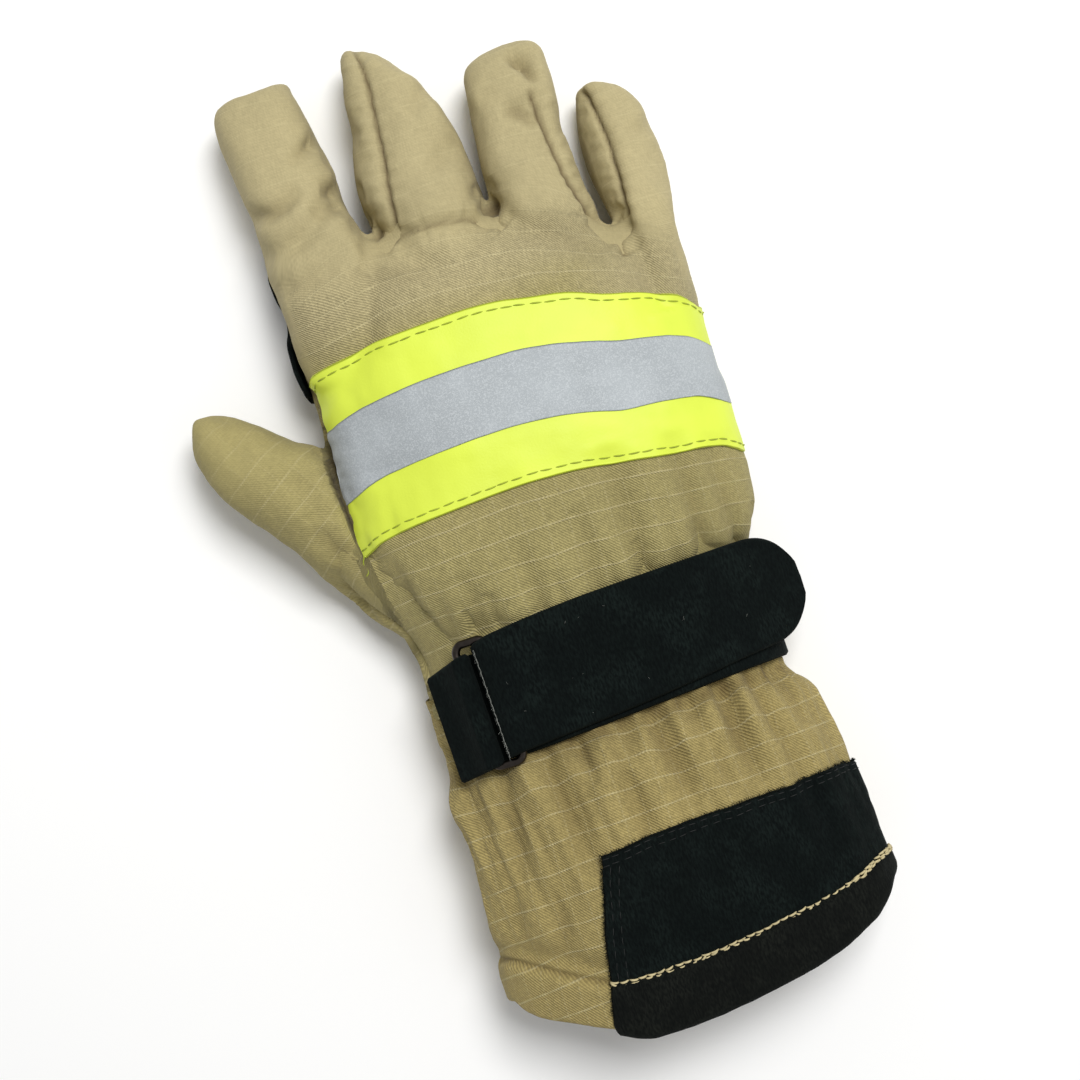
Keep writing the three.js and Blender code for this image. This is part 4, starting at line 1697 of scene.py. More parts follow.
def read_path(values: Array, length: Array, at: Array) -> Array:
    """Vectors along a path, at lengths between its points.

    Args:
        values: (n, 3) vectors at the path's points.
        length: (n,) lengths up to them.
        at: (m,) lengths to read them at.

    Returns:
        (m, 3) vectors.
    """
    return np.stack([np.interp(at, length, values[:, k]) for k in range(3)], axis=1)


def stitches(
    points: Array, normals: Array, pitch: float, gap: float, radius: float, jitter: float, seed: int
) -> Shape:
    """A row of single stitches along a path on a surface.

    Args:
        points: (n, 3) path.
        normals: Its normals.
        pitch: Distance from one stitch to the next.
        gap: How much of it shows no thread.
        radius: The thread's radius.
        jitter: How far a stitch strays sideways.
        seed: Which random draw.

    Returns:
        The stitches.
    """
    random = np.random.default_rng(seed)
    length = path_lengths(points)
    arch, taper = np.array([-0.7, 0.35, 0.6, 0.35, -0.7]), np.array([0.6, 1, 1.05, 1, 0.6])
    made = []
    for k in range(int(length[-1] / pitch)):
        start = k * pitch + random.uniform(-0.1, 0.1) * pitch
        at = np.linspace(start, start + pitch - gap, 5)
        line, normal = read_path(points, length, at), read_path(normals, length, at)
        side = unit(np.cross(normal, np.gradient(line, axis=0)))
        sway = random.uniform(-jitter, jitter, 2)
        line = line + side * np.linspace(sway[0], sway[1], 5)[:, None]
        line = line + normal * (arch * radius)[:, None]
        made.append(sweep(line, radius * taper, 5))
    return merged(made)


def fibres(
    points: Array, normals: Array, ways: Array, count: int, length: float, radius: float, seed: int
) -> Shape:
    """Short loose fibres that stand out of an edge or a face.

    Args:
        points: (n, 3) places that they may grow from.
        normals: (n, 3) normals there.
        ways: (n, 3) directions in which they lean.
        count: How many.
        length: Their usual length.
        radius: Their radius.
        seed: Which random draw.

    Returns:
        The fibres.
    """
    random = np.random.default_rng(seed)
    made = []
    for k in random.integers(0, len(points), count):
        way = unit(ways[k] + random.normal(0, 0.6, 3) * [1, 1, 0.3] + 0.25 * normals[k])
        curl = random.normal(0, 0.3, 3) * [1, 1, 0.3]
        t = np.linspace(0, 1, 4)[:, None] * length * random.uniform(0.5, 1.4)
        path = points[k] + random.normal(0, 0.15, 3) + way * t + curl * t**2 / length
        made.append(sweep(path, radius * np.array([1, 1, 0.8, 0.4]), 3))
    return merged(made)


# The hand


@dataclass
class Shell:
    """The padded cloth of the hand, fingers and thumb.

    Attributes:
        voxel: Cell size of its mesh.
        wall: Thickness of the padded cloth.
        lining_voxel: Cell size of its inner face.
        opens_at: Where it is open at the wrist.
        pressure: Air pressure that swells the cloth while it settles.
        swell: Furthest that a point may move while it settles.
        finger_start: Seen place along where the cloth of the fingers starts.
        little_start: The same for the little finger.
        thumb_side: Seen place across, left of which lies the thumb.
        thumb_top: Seen place along up to which the thumb's seam parts it from the hand.
        tubes: The fingers and the thumb.
        tree: Search tree of the finished skin.
    """

    voxel: float = 1.05
    wall: float = 3.2
    lining_voxel: float = 2.6
    opens_at: float = -46.0
    pressure: float = 4.0
    swell: float = 2.6
    finger_start: float = 101.0
    little_start: float = 83.0
    thumb_side: float = -52.5
    thumb_top: float = 52.0
    tubes: tuple[Tube, ...] = (INDEX, MIDDLE, RING, LITTLE, THUMB)
    tree: BVHTree | None = None

    def solids(self, inset: float) -> Shape:
        """The overlapping forms of hand, fingers and thumb.

        Args:
            inset: Distance by which they are shrunk.

        Returns:
            The closed forms.
        """
        along = np.linspace(HAND.rows[0][0], HAND.rows[-1][0] - inset, 110)[:, None]
        angle = np.linspace(0, 2 * math.pi, 120, endpoint=False)[None, :]
        forms = [loft(HAND.point(along, angle, inset))]
        forms += [loft(tube.rings(110, 64, inset + tube.trim)) for tube in self.tubes]
        return merged([facing_out(f) for f in forms])

    def settled(self, shape: Shape) -> Shape:
        """Lets the cloth swell and buckle between its seams.

        Args:
            shape: The even skin.

        Returns:
            The skin with the cloth's movement.
        """
        coarse = remeshed(shape, 4.2)
        source = make_object("settling", coarse)
        held = source.vertex_groups.new(name="held")
        seen = CAMERA.seen(coarse.points)
        top = coarse.normals()[:, 2] > -0.2
        hold = smoothstep(-34, -40, seen[:, 1])
        for seam in SHELL_SEAMS:
            away, _, _ = line_distance(seen, seam.path)
            hold = np.maximum(hold, np.where(top, smoothstep(5.5, 2.0, away), 0))
        hold = np.maximum(hold, smoothstep(1.4, 0.5, coarse.points[:, 2]))
        for k, weight in enumerate(hold):
            held.add([k], float(weight), "REPLACE")
        cloth = source.modifiers.new("cloth", "CLOTH")
        rules = cloth.settings
        rules.quality, rules.mass, rules.vertex_group_mass = 5, 0.35, "held"
        rules.use_pressure, rules.uniform_pressure_force = True, self.pressure
        rules.shrink_min, rules.bending_stiffness = -0.05, 0.4
        rules.effector_weights.gravity = 0
        cloth.collision_settings.use_collision = False
        scene = bpy.context.scene
        for frame in range(1, 21):
            scene.frame_set(frame)
        moved = evaluated(source).points - coarse.points
        scene.frame_set(1)
        size = np.linalg.norm(moved, axis=1)
        log.info(
            "settling moved the cloth by %.2f mm on average and %.2f mm at most", size.mean(),
            size.max()
        )
        moved *= (self.swell * np.tanh(size / self.swell) / np.maximum(size, 1e-9))[:, None]
        moved = spread(moved, coarse.edges(), 2)
        near = KDTree(len(coarse.points))
        for k, point in enumerate(coarse.points):
            near.insert(point, k)
        near.balance()
        shift = np.zeros_like(shape.points)
        for k, point in enumerate(shape.points):
            found = near.find_n(point, 4)
            share = np.array([1 / (d + 0.4) ** 2 for _, _, d in found])
            shift[k] = share @ moved[[i for _, i, _ in found]] / share.sum()
        shape.points = shape.points + spread(shift, shape.edges(), 4)
        return shape

    def sculpt(self, shape: Shape) -> Shape:
        """Presses seams, folds and dents into the skin.

        Args:
            shape: The even skin.

        Returns:
            The finished skin.
        """
        normals = shape.normals()
        seen = CAMERA.seen(shape.points)
        facing = smoothstep(-0.05, 0.35, normals[:, 2])
        height, shade = np.zeros((2, len(shape.points)))
        # Painted shade: folds and seams darken the cloth that faces up, through the shade layer.
        for line in (*SHELL_FOLDS, *SHELL_SEAMS):
            rise, dark = line.read(seen)
            height += rise
            shade = np.maximum(shade, dark * facing)
        height *= facing
        shape.layers["shade"] = shade
        height += self.texture(shape) * smoothstep(0.3, 3, shape.points[:, 2])
        height += np.where(seen[:, 1] < -10, self.side_gathers(shape, seen), 0)
        shape.points = shape.points + normals * height[:, None]
        shape.points[:, 2] = soft_floor(shape.points[:, 2], 0.12)
        return shape

    @staticmethod
    def texture(shape: Shape) -> Array:
        """The cloth's own unevenness, too small to draw as folds.

        Args:
            shape: The skin.

        Returns:
            Heights.
        """
        x, y, z = shape.points.T
        low = wander(x * 0.9 + y * 0.35 + z * 0.6, 11, 37.0)
        low *= wander(y * 0.8 - x * 0.3 + z * 0.4, 12, 29.0)
        high = wander(x * 0.7 - y * 0.8 + z, 13, 13.0) * wander(x * 0.8 + y * 0.7 - z, 14, 11.0)
        return 0.55 * low + 0.22 * high

    @staticmethod
    def side_gathers(shape: Shape, seen: Array) -> Array:
        """The gathers that run up from the wrist.

        Args:
            shape: The skin.
            seen: Where its points are seen.

        Returns:
            Heights.
        """
        girth = HAND.girth(shape.points)
        wave = np.abs(np.sin(girth * math.pi / 15.5 + 1.1 * wander(girth, 21, 60.0)))
        fade = smoothstep(-2, -20, seen[:, 1])
        return -1.9 * (1 - wave) ** 2 * fade

    def cloth_layers(self, shape: Shape) -> None:
        """Writes where each point lies on the cloth.

        Args:
            shape: The skin.
        """
        seen = CAMERA.seen(shape.points)
        x, y = seen.T
        u, v = HAND.girth(shape.points), HAND.along_at(seen)
        bold, best = np.ones(len(u)), np.full(len(u), FAR)
        finger, smooth = np.zeros((2, len(u)))
        fu, fv = u.copy(), v.copy()
        up = shape.normals()[:, 2]
        for tube in self.tubes:
            away, across, along = tube.near(shape.points)
            if tube.name == "thumb":
                left, _, side = line_distance(seen, THUMB_LINE)
                mine = smoothstep(-1.5, 1.5, np.where(side > 0, left, -left))
                mine = np.where(y < self.thumb_top, mine, np.where(x < self.thumb_side, 1.0, 0.0))
                u, v = u + mine * (across - u), v + mine * (along - v)
                bold = np.minimum(bold, 1 - (0.4 + 0.3 * smoothstep(45, 75, along)) * mine)
                continue
            start = self.little_start if tube.name == "little" else self.finger_start
            mine = smoothstep(start - 7, start + 7, y)
            join = (up > 0.5) & (away < 2.5) & (np.abs(y - start) < 6)
            shift_u, shift_v = (
                float(np.mean(d[join])) if join.any() else 0.0 for d in (u - across, v - along)
            )
            near = away < best
            best = np.where(near, away, best)
            finger = np.where(near, mine, finger)
            smooth = np.where(near, smoothstep(start - 20, start, y), smooth)
            fu, fv = np.where(near, across + shift_u, fu), np.where(near, along + shift_v, fv)
        u, v = u + finger * (fu - u), v + finger * (fv - v)
        right = smoothstep(10, 58, x) * smoothstep(0, 55, y)
        tone = np.maximum(np.maximum(finger, 0.9 * smoothstep(58, 86, y)), 0.85 * right)
        tone = np.where((x < self.thumb_side) & (y < 80), 0.0, tone)
        smooth = np.maximum(smooth, smoothstep(0.75, 0.45, up) * smoothstep(52, 68, y))
        bold = np.minimum(bold, 1 - 0.74 * smooth)
        shape.layers["cloth"] = np.stack([u, v, bold], axis=1)
        shape.layers["tone"] = tone

    def build(self, wardrobe: Wardrobe) -> None:
        """Makes the hand's shell and its inner face.

        Args:
            wardrobe: The finishes.
        """
        skin = remeshed(self.solids(0.1), self.voxel)
        pairs = skin.edges()
        for _ in range(4):
            skin.points = spread(skin.points, pairs, 1, 0.6)
            skin.points = spread(skin.points, pairs, 1, -0.62)
        skin.points = spread(skin.points, pairs, 1)
        self.cloth_layers(skin)
        skin = self.opened(self.sculpt(self.settled(skin)), self.opens_at)
        self.tree = skin.tree()
        outer = dress("hand_shell", skin, wardrobe.cloth, SHELL_NODES)
        inner = remeshed(self.solids(self.wall), self.lining_voxel)
        inner.points = spread(inner.points, inner.edges(), 3)
        inner = self.opened(inner, self.opens_at + 2)
        inner.faces = [tuple(reversed(f)) for f in inner.faces]
        self.cloth_layers(inner)
        inner.layers["shade"] = np.zeros(len(inner.points))
        dress("hand_inner_face", inner, wardrobe.cloth)

    @staticmethod
    def opened(shape: Shape, at: float) -> Shape:
        """The skin without its cap at the wrist.

        Args:
            shape: The closed skin.
            at: Glove-frame place along, below which it is cut away.

        Returns:
            The open skin.
        """
        keep = shape.points[:, 1] > at
        number = np.cumsum(keep) - 1
        faces = [tuple(int(number[c]) for c in f) for f in shape.faces if all(keep[c] for c in f)]
        return Shape(shape.points[keep], faces, {k: v[keep] for k, v in shape.layers.items()})


SHELL_NODES = (
    "back_panel", "palm_panel", "fourchette_index_middle", "fourchette_middle_ring",
    "fourchette_ring_little",
    "thumb_shell",
)
THUMB_LINE = ((-47, -30), (-47, -14.5), (-50.8, 5), (-51, 30), (-50.8, 48), (-50.8, 56))
SHELL_SEAMS = (
    Seam(
        (
            (-4.5, 156), (-4.5, 148), (-5.5, 140), (-6.5, 132), (-8, 122), (-9.5, 112), (-11, 104),
            (-12.5, 99)
        ),
        left=6, right=2.5
    ),
    Seam(
        ((40.5, 127), (41, 120), (42, 110), (43.5, 100), (46, 90), (48, 83), (50, 79.5), (52, 77)),
        right=6, left=2.5
    ),
    Seam(
        (
            (54, 123), (54.8, 119), (56, 113), (56.5, 105), (56, 95), (54.5, 85), (53.5, 80),
            (52, 77)
        ),
        left=2.5, right=6
    ),
    Seam(
        ((-50.4, 66), (-50.9, 48), (-51.2, 30), (-51.2, 11), (-50.4, -2), (-48, -14)), depth=1.3,
        valley=1.5, left=4
    ),
    Seam(
        ((-16, 101), (-15.5, 98), (-12.5, 98.5), (-4, 99), (4, 98.4), (12, 96.6), (18.5, 93.5)),
        depth=0.7, valley=1.6, left=2.2, right=4.5, dark=0.45
    ),
    Seam(((17.6, 106), (18.2, 100), (18.3, 94.5), (20.5, 91)), depth=1.8, valley=1.8, dark=0.75),
    Seam(
        ((-19.5, 109), (-17.6, 103.5), (-15.5, 100), (-12.5, 99)), depth=1.8, width=1.1, valley=1.5,
        dark=0.75
    ),
    Seam(((49.3, 88), (50.5, 81), (52, 76.5), (52.6, 71)), depth=1.4, valley=1.5, dark=0.55),
)
SHELL_FOLDS = (
    Fold(
        ((-62, 30), (-60, 19), (-57, 4), (-52, -7), (-47.5, -14.5), (-47, -36)), 5.1, 4.08, 1.8,
        0.07
    ),
    Fold(((37, 139.5), (39.5, 136.6), (42, 134), (43.4, 128)), 4.4, 2.2, 1.0, 0.1),
    Fold(((38, 138), (41.5, 136.6), (46, 137)), 1.8, 1.6, 1.0, 0.1),
    Fold(((30, 124), (33.5, 122.8), (37, 120.8), (40, 117)), 2.8, 2.4, 1.0, 0.12),
    Fold(((-55, 119), (-50, 117.5), (-45, 117), (-40, 118), (-33, 121)), 3.4, 2.8, 1.0, 0.07),
    Fold(((-28, 118.5), (-22, 117), (-16, 115)), 2.8, 1.8, 1.0, 0.13),
    Fold(((-58, 60), (-52, 62), (-48, 64)), 0.8, 2.0, 1.0, 0.1),
    Fold(((-54, 106), (-47, 105.5), (-40, 106.5), (-34, 109), (-28, 114)), 2.4, 3.6, 1.0, 0.02),
    Fold(((-52, 95), (-42, 93.5), (-32, 96), (-25, 100)), 1.8, 3.4, 1.0, 0.02),
    Fold(((-34, 129), (-29, 131), (-24, 132.5), (-19, 133)), 2.6, 2.6, 1.0, 0.05),
    Fold(((-33, 113), (-27, 113.5), (-21, 113), (-16, 112)), 3.0, 2.8, 1.0, 0.05),
    Fold(((-31, 122), (-26, 122.5), (-19, 122)), -1.2, 3.2),
    Fold(((12, 138), (8, 134), (3, 131)), 1.8, 2.8, 1.0, 0.03),
    Fold(((16, 118), (10, 117), (4, 114)), 1.6, 3.0, 1.0, 0.02),
    Fold(((62, 108), (67, 106), (72, 105)), 1.6, 2.6, 1.0, 0.03),
    Fold(((-44, 14), (-44, -6), (-43.5, -34)), 2.89, 3.84, 1.0, 0.05),
    Fold(((-35, 0), (-34.5, -12), (-34, -34)), 1.53, 3.12, 1.0, 0.04),
    Fold(((-26, -2), (-25, -14), (-24, -36)), 2.38, 4.08, 1.0, 0.04),
    Fold(((-7, 2), (-6.5, -14), (-6, -36)), 2.55, 4.08, 1.0, 0.04),
    Fold(((12, 6), (12, -12), (11, -36)), 2.38, 4.08, 1.0, 0.04),
    Fold(((27, 20), (27, 0), (26.5, -36)), 3.23, 4.56, 1.0, 0.04),
    Fold(((38, 0), (37.5, -12), (37, -34)), 1.53, 3.36, 1.0, 0.04),
    Fold(((47, 18), (47, -4), (46, -36)), 3.23, 4.32, 1.0, 0.05),
    Fold(((56, 14), (56, -6), (54.5, -34)), 2.21, 3.36, 1.0, 0.05),
    Fold(((-30, 94), (-20, 90), (-8, 88), (2, 90)), 1.5, 5.0),
    Fold(((20, 91), (32, 86), (40, 80), (47, 72)), 1.5, 5.0),
    Fold(((-78, 70), (-75, 60), (-76, 48)), 1.4, 4.0, 1.0, 0.02),
    Fold(((-66, 44), (-61, 37), (-61, 26)), 1.8, 4.4, 1.0, 0.02),
)


# The cuff


@dataclass
class Cuff:
    """The padded cloth gauntlet and its hem.

    Attributes:
        around: Points round it.
        rows: Points along its outer face.
        inner_rows: Points along its inner face.
        wall: Thickness of the padded cloth.
        hem_wall: Thickness at the hem.
        pleat: Depth of the gathers under the strap.
        hem_at: Where the hem's seam lies, as a share of the way from the wrist to the rim.
        reading: Row place whose section tells how high the hem and the rim lie.
        rim_out: How far the rows run past the drawn rim, because the turned edge is round.
        tree: Search tree of the outer face.
        shade: How much painted shade each point of the outer face gets, in its folds and gathers,
        under the strap and along the hem's seam.
    """

    around: int = 420
    rows: int = 150
    inner_rows: int = 36
    wall: float = 3.2
    hem_wall: float = 3.8
    pleat: float = 2.6
    hem_at: float = 0.86
    reading: float = -128.0
    rim_out: float = 2.6
    tree: BVHTree | None = None
    shade: Array | None = None

    def line(self, fraction: Array, angle: Array) -> Array:
        """Seen place along of the cuff's rows, which bend to follow the hem and the rim.

        Args:
            fraction: 0 at the wrist, 1 at the rim.
            angle: Section angles.

        Returns:
            Places along.
        """
        left, right, _, _ = CUFF.at(np.array([self.reading]))
        x = (left + right) / 2 + (right - left) / 2 * bend(np.cos(angle), 2 / CUFF.roundness)
        wrist = CUFF.rows[-1][0]
        upper_angle = np.arccos(np.clip(np.cos(angle), -1, 1))
        height = CUFF.height(np.full(x.shape, self.reading), upper_angle)
        hem, rim = drawn(HEM_LINE, x, height), drawn(RIM, x, height) + self.rim_out
        upper = wrist + (hem - wrist) * np.clip(fraction / self.hem_at, 0, 1)
        return upper + (rim - hem) * np.clip((fraction - self.hem_at) / (1 - self.hem_at), 0, 1)

    def skin(self, rows: int, around: int, inset: float) -> tuple[Array, Array]:
        """Grid of the cuff's surface before it is sculpted.

        Args:
            rows: Points along.
            around: Points round it.
            inset: Distance inwards.

        Returns:
            Points (rows, around, 3), and how far along each lies from the wrist to the rim.
        """
        fraction = np.linspace(0, 1, rows)[:, None]
        angle = np.linspace(0, 2 * math.pi, around, endpoint=False)[None, :]
        fraction, angle = np.broadcast_arrays(fraction, angle)
        return CUFF.point(self.line(fraction, angle), angle, inset), fraction

    def sculpted(self, points: Array, fraction: Array) -> Array:
        """Presses gathers, folds and the hem's seam into the cuff.

        Args:
            points: (rows, around, 3) grid.
            fraction: Places along, 0 at the wrist and 1 at the rim.

        Returns:
            The finished grid.
        """
        rows, around = points.shape[:2]
        shape = Shape(points.reshape(-1, 3), grid_faces(rows, around, around=True, flip=True))
        normals = shape.normals()
        out = points - points.mean(axis=1, keepdims=True)
        if float((normals * out.reshape(-1, 3)).sum()) < 0:
            normals = -normals
        seen = CAMERA.seen(shape.points)
        girth = CUFF.girth(shape.points)
        along = seen[:, 1]
        wave = np.abs(np.sin((girth - 1.5) * math.pi / 12.3 + 0.9 * wander(girth, 31, 70.0)))
        reach = 16 + 7 * wander(girth, 32, 40.0)
        fade = smoothstep(0, 1, (along + 60 + reach) / reach) * smoothstep(-50, -58, along)
        facing = smoothstep(-0.1, 0.35, normals[:, 2])
        height = -self.pleat * (1 - wave) ** 1.6 * fade * (1 - 0.85 * facing)
        height += 1.6 * bell(along + 66, 7)
        y = shape.points[:, 1]
        folds = wander(girth, 37, 21.0) + 0.5 * wander(girth + 0.2 * y, 38, 11.0)
        folds *= smoothstep(-128, -80, along) * facing
        height += 1.2 * folds + 0.9 * wander(girth + 0.25 * y, 33, 46.0) * wander(y, 34, 60.0)
        # Painted shadow: a dark band just under the strap's lower edge.
        strap_shadow = (0.4 + 0.2 * wander(girth, 39, 9.0)) * bell(along + 58.5, 3.2)
        # Painted shade in the valleys of the random folds, and in each drawn fold below.
        shade = 0.14 * np.clip(-folds, 0, 1) + strap_shadow * facing
        for fold in CUFF_FOLDS:
            rise, dark = fold.read(seen)
            height += rise * facing
            shade = np.maximum(shade, 1.25 * dark * facing)
        height += 0.3 * wander(girth * 0.8 + y, 35, 17.0) * wander(girth - y * 0.7, 36, 14.0)
        hem = (fraction.reshape(-1) - self.hem_at) * 100
        height += -1.5 * bell(hem, 1) - 1.1 * bell(hem + 3.5, 3.4)
        # Painted shade along the hem's seam.
        self.shade = np.maximum(shade, 0.4 * bell(hem, 0.7))
        height += 0.5 * smoothstep(0.5, 3, hem)
        moved = shape.points + normals * height[:, None]
        moved[:, 2] = soft_floor(moved[:, 2], 0.1)
        return moved.reshape(points.shape)

    def build(self, wardrobe: Wardrobe) -> None:
        """Makes the cuff.

        Args:
            wardrobe: The finishes.
        """
        even, fraction = self.skin(self.rows, self.around, 0.0)
        outer = self.sculpted(even, fraction)
        inner, _ = self.skin(self.inner_rows, self.around, self.wall)
        inner += (outer - even)[np.linspace(0, self.rows - 1, self.inner_rows).round().astype(int)]
        even = even.reshape(-1, 3)
        inner[..., 2] = np.maximum(inner[..., 2], 0.8 * self.wall)
        thick = 0.55 * (self.hem_wall - self.wall)
        turn = np.linspace(0, math.pi, 9)[1:-1]
        middle = (outer[-1] + inner[-1]) / 2
        radial = (outer[-1] - inner[-1]) / 2
        down = np.array([0, -1.0, 0]) * (self.wall / 2 + thick)
        rim = [middle + np.cos(t) * radial + np.sin(t) * down for t in turn]
        shape = facing_out(self.closed(np.concatenate([outer, np.array(rim), inner[::-1]])))
        flat = np.concatenate([even, shape.points[len(even):]])
        girth = CUFF.girth(flat)
        along = CAMERA.seen(flat)[:, 1]
        shape.layers["cloth"] = np.stack([girth, along, np.ones(len(girth))], axis=1)
        shape.layers["tone"] = np.full(len(girth), 2.0)
        shape.layers["shade"] = np.concatenate([self.shade, np.zeros(len(girth) - len(self.shade))])
        self.tree = self.closed(outer).tree()
        piece = dress("cuff", shape, wardrobe.cloth, ("cuff_shell", "cuff_hem"))

    @staticmethod
    def closed(grid: Array) -> Shape:
        """A skin through rings of points.

        Args:
            grid: (rows, around, 3) points.

        Returns:
            The skin, open at both ends.
        """
        faces = [tuple(f) for f in grid_faces(len(grid), grid.shape[1], around=True)]
        return Shape(grid.reshape(-1, 3), faces)


CUFF_FOLDS = (
    Fold(((-45, -48), (-44, -58), (-43, -68), (-43, -80)), 2.79, 3.5, 1.0, 0.05),
    Fold(((-33.5, -48), (-33.5, -58), (-34, -66), (-36, -78), (-38, -98)), 3.77, 3.75, 1.0, 0.06),
    Fold(((-19.5, -48), (-19.5, -58), (-19, -66), (-18, -82), (-20, -100)), 3.61, 4, 1.0, 0.06),
    Fold(((-8.5, -49), (-8.5, -58), (-8, -64), (-6.5, -74)), 4.1, 3.5, 1.0, 0.07),
    Fold(((6, -49), (6, -58), (5.5, -64), (4, -72)), 2.95, 3.25, 1.0, 0.06),
    Fold(((14, -49), (14, -58), (14.5, -64), (17, -78), (18, -90)), 3.94, 3.5, 1.0, 0.07),
    Fold(((25, -49), (25, -58), (25.5, -64), (26.5, -74)), 2.79, 3.25, 1.0, 0.06),
    Fold(((35, -48), (35.5, -58), (36, -64), (37.5, -76), (38, -90)), 3.94, 3.5, 1.0, 0.07),
    Fold(((44.5, -48), (45, -58), (46, -66), (49, -80)), 2.95, 3.25, 1.0, 0.06),
    Fold(((52.5, -48), (53.5, -58), (55, -66), (58, -80)), 3.44, 3.25, 1.0, 0.07),
    Fold(((-26.5, -54), (-26.5, -62), (-27, -74)), -1.8, 4.4),
    Fold(((-1, -54), (-1, -62), (-2, -76)), -2.0, 5.0),
    Fold(((-14, -54), (-14, -62), (-13, -72)), -1.4, 3.6),
    Fold(((20, -54), (20, -62), (21, -72)), -1.4, 3.6),
    Fold(((30.5, -54), (30.5, -62), (31, -74)), -1.6, 3.8),
    Fold(((40, -54), (40.5, -62), (42, -74)), -1.6, 3.6),
    Fold(((-53, -110), (-46, -113), (-38, -117), (-29, -123), (-20, -129)), 1.48, 3.75, 1.0, 0.04),
    Fold(((-30, -98), (-31, -110), (-33, -121)), 1.6, 3.4),
    Fold(((-42, -94), (-43, -104), (-43, -114)), 1.4, 3.0),
    Fold(((2, -72), (2, -82), (1, -91)), 1.4, 3.2),
    Fold(((30, -74), (29, -82), (29, -91)), 1.4, 3.0),
)


# Layers sewn on the cloth


def body_layer(
    body: Body, tree: BVHTree, low: Table, high: Table, angles: tuple[
        Array, Array
    ], rows: int, across: int
) -> tuple[Array, Array]:
    """A grid that lies on the hand or the cuff between two drawn lines.

    Args:
        body: The hand or the cuff.
        tree: Its sculpted skin.
        low: Line of its edge towards the wrist or the rim.
        high: Line of its edge towards the fingers.
        angles: Section angle where each row starts and ends, (rows,) each.
        rows: Points along.
        across: Points across.

    Returns:
        Points and normals, (rows, across, 3) each.
    """
    share = np.linspace(0, 1, across)[None, :]
    angle = angles[0][:, None] + (angles[1] - angles[0])[:, None] * share
    t = np.linspace(0, 1, rows)[:, None]
    along = np.full((rows, across), 0.5 * (low[len(low) // 2][1] + high[len(high) // 2][1]))
    for _ in range(3):
        left, right = body.at(along)[:2]
        x = (left + right) / 2 + (right - left) / 2 * bend(np.cos(angle), 2 / body.roundness)
        z = body.height(along, angle)
        along = drawn(low, x, z) * (1 - t) + drawn(high, x, z) * t
    guess = np.stack(
        [x + CAMERA.shift[0], along + CAMERA.shift[1], body.height(along, angle)], axis=-1
    )
    middle = guess.copy()
    middle[..., 0], middle[..., 2] = CAMERA.shift[0] + 7, 19.0
    middle[..., 0] += 0.72 * (guess[..., 0] - middle[..., 0])
    return laid(tree, guess, middle)


def smoothed(grid: Array, rounds: int) -> Array:
    """A grid with its small bumps evened out.

    Args:
        grid: (rows, columns, 3) points.
        rounds: How many times.

    Returns:
        The smoother grid.
    """
    for _ in range(rounds):
        wide = np.pad(grid, ((1, 1), (1, 1), (0, 0)), mode="reflect", reflect_type="odd")
        grid = 0.5 * grid + 0.125 * (
            wide[:-2, 1:-1] + wide[2:, 1:-1] + wide[1:-1, :-2] + wide[1:-1, 2:]
        )
    return grid


@dataclass
class Tape:
    """The reflective tape: a fluorescent band with a silver strip along its middle.

    Attributes:
        thickness: Of the fluorescent band.
        strip_thickness: Of the silver strip.
        right_end: Section angle of its end at the little finger's side, in degrees.
    """

    thickness: float = 0.8
    strip_thickness: float = 0.3
    right_end: float = -24.0

    def grid(self, tree: BVHTree, low: Table, high: Table, rows: int) -> tuple[Array, Array]:
        """A grid on the back of the hand between two of the tape's lines.

        Args:
            tree: The hand's skin.
            low: Its lower line.
            high: Its upper line.
            rows: Points along.

        Returns:
            Points and normals.
        """
        t = np.linspace(0, 1, rows)
        y = low[0][1] + (high[0][1] - low[0][1]) * t
        left = HAND.angle_at(y, np.interp(y, [11, 66], [-50.6, -48.2]))
        angles = (left, np.full(rows, math.radians(self.right_end)))
        return body_layer(HAND, tree, low, high, angles, rows, 190)

    def build(self, shell: Shell, wardrobe: Wardrobe) -> None:
        """Makes the band, the strip and their stitches.

        Args:
            shell: The hand.
            wardrobe: The finishes.
        """
        points, normals = self.grid(shell.tree, TAPE_LOW, TAPE_TOP, 70)
        band = slab(points, normals, self.thickness)
        piece = dress("tape_backing_band", band, wardrobe.tape, ("tape_backing",))
        lift = self.thickness + 0.08
        inner, inner_normals = self.grid(shell.tree, STRIP_LOW, STRIP_TOP, 34)
        strip = slab(inner + inner_normals * lift, inner_normals, self.strip_thickness, 0.0)
        silver = dress("tape_silver_strip", strip, wardrobe.strip, ("tape_strip",))
        sewn = [
            stitches(points[row] + normals[row] * lift, normals[row], 4.2, 0.7, 0.24, 0.16, seed)
            for row, seed in ((3, 41), (-4, 42))
        ]
        dress("tape_stitches", merged(sewn), wardrobe.olive_thread)


